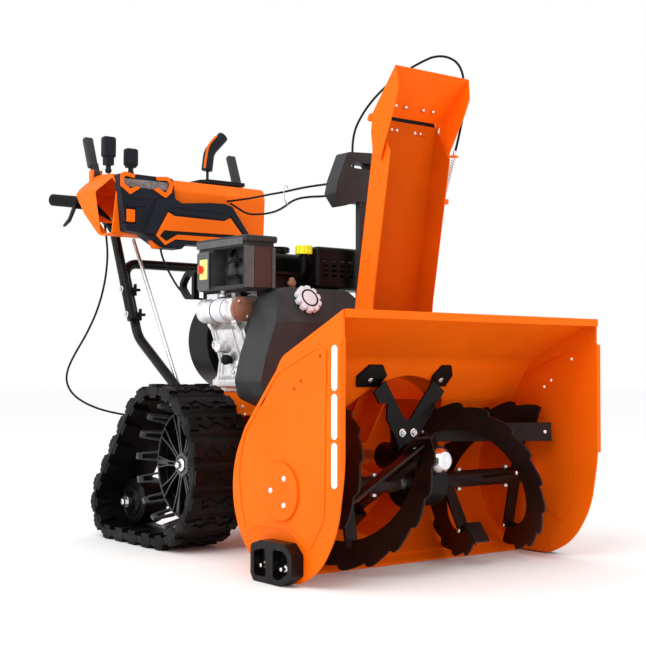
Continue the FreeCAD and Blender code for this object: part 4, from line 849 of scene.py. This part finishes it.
def make_engine_details():
    """The casting, its plugs and its bolts."""
    crank = middle("engine_pulley").z * 1000
    make_casting(crank)
    dark = bmesh.new()
    drain = [(0, 10), (12, 10), (13, 13), (22, 13), (24, 10)]
    add_lathe(dark, at(-124, 735, 441), (-1, -0.25, 0), drain, 8)
    add_lathe(dark, at(-136, 668, 505), -X, [(0, 8), (6, 8), (7, 6)], 20)
    add_lathe(dark, at(-132, 781, 478), -X, [(0, 6), (4.5, 6), (5, 5)], 20)
    finish("crankcase_plugs", dark, "black_rubber", "machine", 0.5)
    bolts = bmesh.new()
    for angle in FLANGE_BOLTS:
        add_bolt(bolts, flange_spot(crank, angle), -Y, 6, 4)
    for y in (652, 770):
        add_bolt(bolts, at(-138, y, 392), Z, 7, 6)
    for y, z in ((684, 410), (716, 410), (700, 426), (700, 394)):
        add_bolt(bolts, at(-131, y, z), -X, 4, 3)
    finish("crankcase_bolts", bolts, "zinc_steel", "machine", 0.3)


def slab(bm, axis, start, thick, corners, radius, steps=3):
    """A plate between two opposite corners of its outline, its corners rounded to radius."""
    (u0, v0), (u1, v1) = corners
    outline = [(u0, v0, radius), (u1, v0, radius), (u1, v1, radius), (u0, v1, radius)]
    add_prism(bm, axis, start, thick, rounded(outline, steps))


def make_heater_details():
    """Hose in the recess, lighter edges, a blank label behind the choke knob, and the shield."""
    hose = [(-160, 664, 706), (-172, 664, 690), (-174, 660, 668), (-176, 640, 660), (-180, 628, 664)]
    hose += [(-184, 636, 676), (-184, 654, 668), (-182, 660, 652), (-176, 640, 636), (-170, 626, 626)]
    hose += [(-168, 622, 612)]
    fixed_line("choke_hose", hose, 4.5, "black_plastic", "machine")
    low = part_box("heater_box")[0]
    left, front = low.x * 1000, (low.y - FRONT) * 1000
    label = bmesh.new()
    slab(label, "x", left - 3.4, 1.2, ((713, 632), (747, 680)), 2)
    finish("choke_label", label, "label_yellow", "machine")
    shield = bmesh.new()
    wall = [(-116, 590, 3), (40, 590, 3), (40, 652, 6), (-116, 652, 3)]
    add_prism(shield, "y", 634, 4, rounded(wall, 3))
    shelf = [(-116, 646, 3), (-10, 646, 3), (-10, 650, 2), (-116, 650, 2)]
    add_prism(shield, "y", 596, 40, rounded(shelf, 3))
    finish("head_shield", shield, "dark_brown", "machine", 0.6)
    fitting = bmesh.new()
    profile = [(0, 7), (10, 7), (11, 10), (18, 10), (19, 7), (26, 6)]
    add_lathe(fitting, at(-78, 545, 606), (-0.25, -0.2, 1), profile, 18)
    finish("plug_fitting", fitting, "copper", "machine", 0.3)
    grey = bmesh.new()
    slab(grey, "x", left - 2.2, 2.4, ((708, 606), (757, 698)), 2)
    band = [(566, 706, 2), (766, 706, 2), (766, 722, 4), (566, 722, 4)]
    add_prism(grey, "x", left - 0.4, 0.8, rounded(band, 3))
    add_box(grey, (left + 1, front - 0.6, 606), (left + 26, front + 0.6, 702))
    add_box(grey, (left + 76, front - 3, 606), (left + 84, front + 0.6, 700))
    finish("heater_edges", grey, "wheel_grey", "machine", 0.5)
    brown = bmesh.new()
    add_box(brown, (left + 27.5, front - 0.5, 607), (left + 75, front + 0.6, 701))
    finish("heater_front", brown, "dark_brown", "machine", 0.4)


def make_shroud_details():
    """Stepped rings on the recoil starter's cover."""
    crank = middle("engine_pulley").z
    centre = Vector((0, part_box("flywheel_shroud")[1].y, crank))
    bm = bmesh.new()
    for i in range(7):
        foot, top, radius = -3 - 2 * i, -2.4 * i, 30 + 8 * i
        ring = [(foot, radius), (top, radius + 1), (top, radius + 4), (foot, radius + 5)]
        add_lathe(bm, centre, Y, ring, 60, False)
    finish("recoil_rings", bm, "black_plastic", "machine", 0.3)


# ---------------------------------------------------------------- console


def make_fascia_details():
    """Raised surround of the badge, pocket round the rocker, seams and the tag below."""
    front = (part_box("console_fascia")[0].y - FRONT) * 1000
    raised = bmesh.new()
    brow = [(-129, 874, 2), (-78, 873, 3), (-52, 864, 4), (40, 873, 4), (88, 874, 4), (110, 868, 4)]
    brow += [(167, 797, 3), (153, 793, 2), (106, 845, 4), (82, 834, 4), (-74, 836, 4), (-96, 845, 3)]
    brow += [(-137, 775, 2), (-166, 778, 2)]
    chin = [(-165, 776, 2), (-137, 773, 2), (-105, 745, 3), (-70, 763, 4), (80, 764, 4), (113, 772, 3)]
    chin += [(152, 790, 2), (134, 759, 3), (-36, 759, 2), (-52, 745, 2), (-109, 745, 3)]
    for outline in (brow, chin):
        add_prism(raised, "y", front - 3.2, 3.6, rounded(outline, 3))
    pocket = [(-222, 849), (-163, 853), (-178, 794), (-221, 791), (-222, 849)]
    add_path_bar(raised, pocket, front + 0.2, 2.4, 1.6)
    add_path_bar(raised, [(-220, 850), (-166, 853)], front + 0.2, 7, 3.4)
    add_path_bar(raised, [(-90, 853), (-76, 858), (84, 853)], front - 2.6, 6, 2.6)
    finish("fascia_relief", raised, "fascia_plastic", "machine", 0.8)
    seams = bmesh.new()
    add_path_bar(seams, [(-133, 874), (-159, 824), (-171, 778)], front + 0.3, 2.2, 0.9)
    add_path_bar(seams, [(-234, 871), (-190, 867), (-140, 872)], front + 0.3, 1.6, 0.8)
    mark = [(-119, 774, 1), (-107, 788, 1), (124, 791, 1), (106, 784, 1), (-67, 782, 1), (-101, 763, 1)]
    add_prism(seams, "y", front - 1.6, 1.8, rounded(mark, 2))
    finish("fascia_seams", seams, "black_plastic", "machine", 0.2)
    tag = bmesh.new()
    outline = [(-157, 784, 2), (-130, 776, 2), (-101, 744, 3), (-127, 741, 3)]
    add_prism(tag, "y", front + 6, 24, rounded(outline, 3))
    finish("fascia_tag", tag, "orange_plastic", "machine", 1.5)


def make_console_top():
    """Orange edge of the speed lever's grip, the levers' panel and the wire round the cables."""
    edge = [(81, 1190, 990), (87, 1190, 1034), (96, 1190, 1064), (120, 1190, 1086)]
    fixed_line("speed_grip_edge", edge, 3.2, "orange_plastic", "speed_selector")
    panel = bmesh.new()
    outline = [(50, 1168, 4), (74, 1144, 4), (190, 1144, 4), (190, 1172, 2), (84, 1172, 3), (84, 1228, 3)]
    outline += [(190, 1228, 3), (190, 1240, 4), (50, 1240, 4)]
    add_prism(panel, "z", 941, 11, rounded(outline, 3))
    finish("lever_panel", panel, "black_plastic", "machine", 1.0)
    guide = [(66, 762, 882), (58, 760, 890), (50, 758, 884), (48, 756, 868), (50, 756, 850)]
    guide += [(58, 758, 840), (70, 762, 838)]
    fixed_line("cable_guide", guide, 1.2, "bare_steel", "machine")


# ---------------------------------------------------------------- fasteners and small trim


def make_bolts():
    """Bright bolts over the plain CAD heads."""
    bm = bmesh.new()
    for sign in (1, -1):
        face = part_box("auger_bearings")[1].x * sign
        for i in range(3):
            spot = ribbon_spot(0, 30, math.radians(120 * i)) + X * face
            add_dome(bm, spot, X * sign, 6.5, 3.5)
        for y in SHOE_BOLTS:
            add_bolt(bm, at(sign * 363, y, 32), X * sign, 8, 7)
            add_lathe(bm, at(sign * 373, y, 32), X * sign, [(0, 4), (8, 4)], 12)
        for y, z in HANDLE_BOLTS:
            add_bolt(bm, at(sign * 199, y, z), X * sign, 7, 5)
        for y, z in FRAME_BOLTS:
            add_dome(bm, at(sign * 152, y, z), X * sign, 5, 3)
    for x in HUB_BOLTS:
        add_bolt(bm, at(x, 217, 282), -Y, 7, 5)
    for x in BRACE_BOLTS:
        add_bolt(bm, at(x, 226.0, 398), (0, -0.788, -0.615), 8, 6)
    add_bolt(bm, at(-176, 486.6, 352), -Y, 8, 4)
    finish("bright_bolts", bm, "zinc_steel", "machine", 0.3, stands_for=["frame_fasteners"])


def make_handle_knobs():
    """Wing knobs on the inner ends of the handle bolts."""
    knobs = bmesh.new()
    for sign in (1, -1):
        for y, z in HANDLE_BOLTS:
            stem = [(0, 7), (14, 7), (16, 4), (30, 4)]
            add_lathe(knobs, at(sign * 173, y, z), -X * sign, stem, 16)
            add_box(knobs, (sign * 158 - 4, y - 3, z - 16), (sign * 158 + 4, y + 3, z + 16))
    finish("handle_knobs", knobs, "black_plastic", "machine", 1.5)


def make_chute_details():
    """Painted shade as darker orange sheets inside the chute, and the bolts and the seal at its hinge."""
    # Painted shade: thin darker orange sheets over the chute's inner walls stand for the shade in its trough.
    shade_sheets = bmesh.new()
    for x in (8.0, 185.5):
        add_prism(shade_sheets, "x", x, 0.5, [(354, 530), (348, 582), (291.5, 905), (336.5, 984), (416.0, 530)])
    add_prism(shade_sheets, "x", 8.0, 178, [(416.6, 530), (415.9, 530), (335.9, 984), (336.6, 984)])
    for x in (34.5, 134.5):
        add_box(shade_sheets, (x, 337.6, 961.5), (x + 25, 338.0, 986))
    finish("chute_lining", shade_sheets, "orange_inner", "chute", 0)
    chute_bolts, hood_bolts = bmesh.new(), bmesh.new()
    for x in (51, 67, 123, 139):
        add_dome(chute_bolts, at(x, 343.4, 966), (0, 1, 0.17), 5, 3)
        add_dome(chute_bolts, at(x, 340.5, 966), (0, -1, -0.17), 5, 4)
    for x in (40, 70, 124, 154):
        add_dome(hood_bolts, at(x, 312, 1014), (0, -0.73, -0.68), 5, 3)
    finish("chute_bolts", chute_bolts, "zinc_steel", "chute", 0.3)
    finish("hood_bolts", hood_bolts, "zinc_steel", "deflector", 0.3)
    seal = bmesh.new()
    add_box(seal, (9, 340.8, 975), (185, 341.9, 996))
    finish("hinge_seal", seal, "black_rubber", "chute", 0.2)


def make_gearcase_nose():
    """Bright cap over the worm's front bearing."""
    nose = bmesh.new()
    profile = [(0, 27), (5, 27), (10, 25), (15, 21.5), (18.5, 18.6), (20, 14), (19, 9), (19, 0.5)]
    add_lathe(nose, at(0, 126, 228), -Y, profile, 40)
    finish("gearcase_nose", nose, "zinc_steel", "machine", 0.3)


def make_cover_knob():
    """Scalloped bright knob with a dark ring round its plain middle."""
    low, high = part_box("cover_knob")
    axis = Vector((0, -0.9, 0.436)).normalized()
    centre = (low + high) / 2 - axis * 0.007
    side = axis.cross(X).normalized()
    body, ring = bmesh.new(), bmesh.new()
    count, samples = 10, 12
    profile = []
    for i in range(count * samples):
        share = (i % samples) / samples
        notch = 7 * max(0, math.sin(math.pi * (share - 0.55) / 0.45)) if share > 0.55 else 0
        angle = 2 * math.pi * i / (count * samples)
        radius = (34.5 - notch) / 1000
        profile.append((X * math.cos(angle) + side * math.sin(angle)) * radius)
    rings = []
    for height, scale in ((0, 1), (0.011, 1), (0.014, 0.93)):
        rings.append([body.verts.new(centre + p * scale + axis * height) for p in profile])
    for a, b in zip(rings, rings[1:]):
        bridge(body, a, b)
    body.faces.new(rings[0][::-1])
    body.faces.new(rings[-1])
    add_lathe(ring, centre, axis, [(13.5, 23), (15, 22.5), (15, 19), (13.5, 18.5)], 40, False)
    add_lathe(body, centre, axis, [(13.8, 18), (14.6, 17), (15.0, 6)], 40)
    finish("knob_star", body, "silver_label", "cover_knob", 0.4, stands_for=["cover_knob"])
    finish("knob_ring", ring, "black_plastic", "cover_knob", 0.2)


def ease_cad():
    """CAD shapes that are right get eased edges."""
    widths = {
        "auger_housing": 1.0, "side_plate_left": 1.6, "side_plate_right": 1.6, "impeller_housing": 1.0,
        "scraper_bar": 0.8, "skid_shoes": 2.5, "gearcase": 3.0, "gearcase_brace": 1.2, "tractor_frame": 1.2,
        "engine_block": 1.5, "flywheel_shroud": 5.0, "fuel_tank": 3.0, "heater_box": 2.0, "muffler": 1.2,
        "belt_cover": 7.0, "console_shell": 4.0, "console_fascia": 3.0, "headlight": 1.0, "console_trim": 1.2,
        "control_tower": 3.0, "chute": 0.9, "chute_deflector": 0.9, "speed_lever": 3.0, "chute_lever": 1.5,
        "deflector_lever": 1.5, "auger_clutch_lever": 2.0, "drive_clutch_lever": 2.0, "pull_handle": 3.0,
        "carriage_trigger": 1.5, "fuel_cap": 1.2, "oil_cap": 1.2, "rocker_switch": 1.5,
        "track_carriage": 1.5, "hand_grips": 1.5, "auger_bearings": 1.5, "impeller": 1.0,
    }
    bluish = ("console_fascia", "speed_lever", "chute_lever", "deflector_lever")
    for node, width in widths.items():
        softened(node, width, "fascia_plastic" if node in bluish else None)


# ---------------------------------------------------------------- stage


def make_camera():
    """The viewpoint, low and ahead of the machine's right side."""
    data = bpy.data.cameras.new("camera")
    data.lens = 68.3
    data.sensor_width = 36
    camera = add_object("camera", data)
    forward = Vector((0.60872, 0.79244, 0.03856))
    up = Vector((-0.02584, -0.02877, 0.99925))
    right = forward.cross(up).normalized()
    up = right.cross(forward)
    turn = Matrix((right, up, -forward)).transposed().to_4x4()
    camera.matrix_world = Matrix.Translation(at(-1765.4, -1769.8, 415.9)) @ turn
    bpy.context.scene.camera = camera


def add_light(name, place, target, size, power):
    """Soft rectangular lamp aimed at the target."""
    data = bpy.data.lights.new(name, "AREA")
    data.shape = "RECTANGLE"
    data.size, data.size_y = size
    data.energy = power
    light = add_object(name, data)
    light.location = place
    light.rotation_euler = (target - place).to_track_quat("-Z", "Y").to_euler()


def make_stage():
    """Pale floor, white surroundings and three soft lamps."""
    bpy.ops.mesh.primitive_plane_add(size=40)
    floor = bpy.context.object
    floor.name = "floor"
    paint = Paint("floor", (0.97, 0.97, 0.97), 0.9).shiny(0.0)
    floor.data.materials.append(paint.material)
    world = bpy.data.worlds.new("studio")
    world.use_nodes = True
    world.node_tree.nodes["Background"].inputs["Color"].default_value = (1, 1, 1, 1)
    world.node_tree.nodes["Background"].inputs["Strength"].default_value = 1.0
    bpy.context.scene.world = world
    target = Vector((0, 0, 0.5))
    add_light("key", Vector((-2.6, -1.6, 3.0)), target, (2.2, 2.2), 55)
    add_light("side", Vector((-3.2, 1.4, 1.4)), target, (1.6, 2.0), 22)
    add_light("front", Vector((1.2, -3.4, 1.6)), target, (2.4, 1.8), 10)
    bpy.context.scene.view_settings.view_transform = "Standard"
    bpy.context.scene.view_settings.look = "None"


def build():
    """Everything in the scene, in order."""
    dress_cad()
    ease_cad()
    loop = Loop()
    for side_name, sign in SIDES:
        make_track(side_name, sign, loop)
        make_drive_wheel(side_name, sign)
        make_idler(side_name, sign)
        make_auger(side_name, sign)
    make_cables()
    make_hood_cable()
    make_hood_spring()
    make_starter()
    make_engine_details()
    make_heater_details()
    make_shroud_details()
    make_fascia_details()
    make_console_top()
    make_bolts()
    make_handle_knobs()
    make_cover_knob()
    make_chute_details()
    make_gearcase_nose()
    make_camera()
    make_stage()


build()
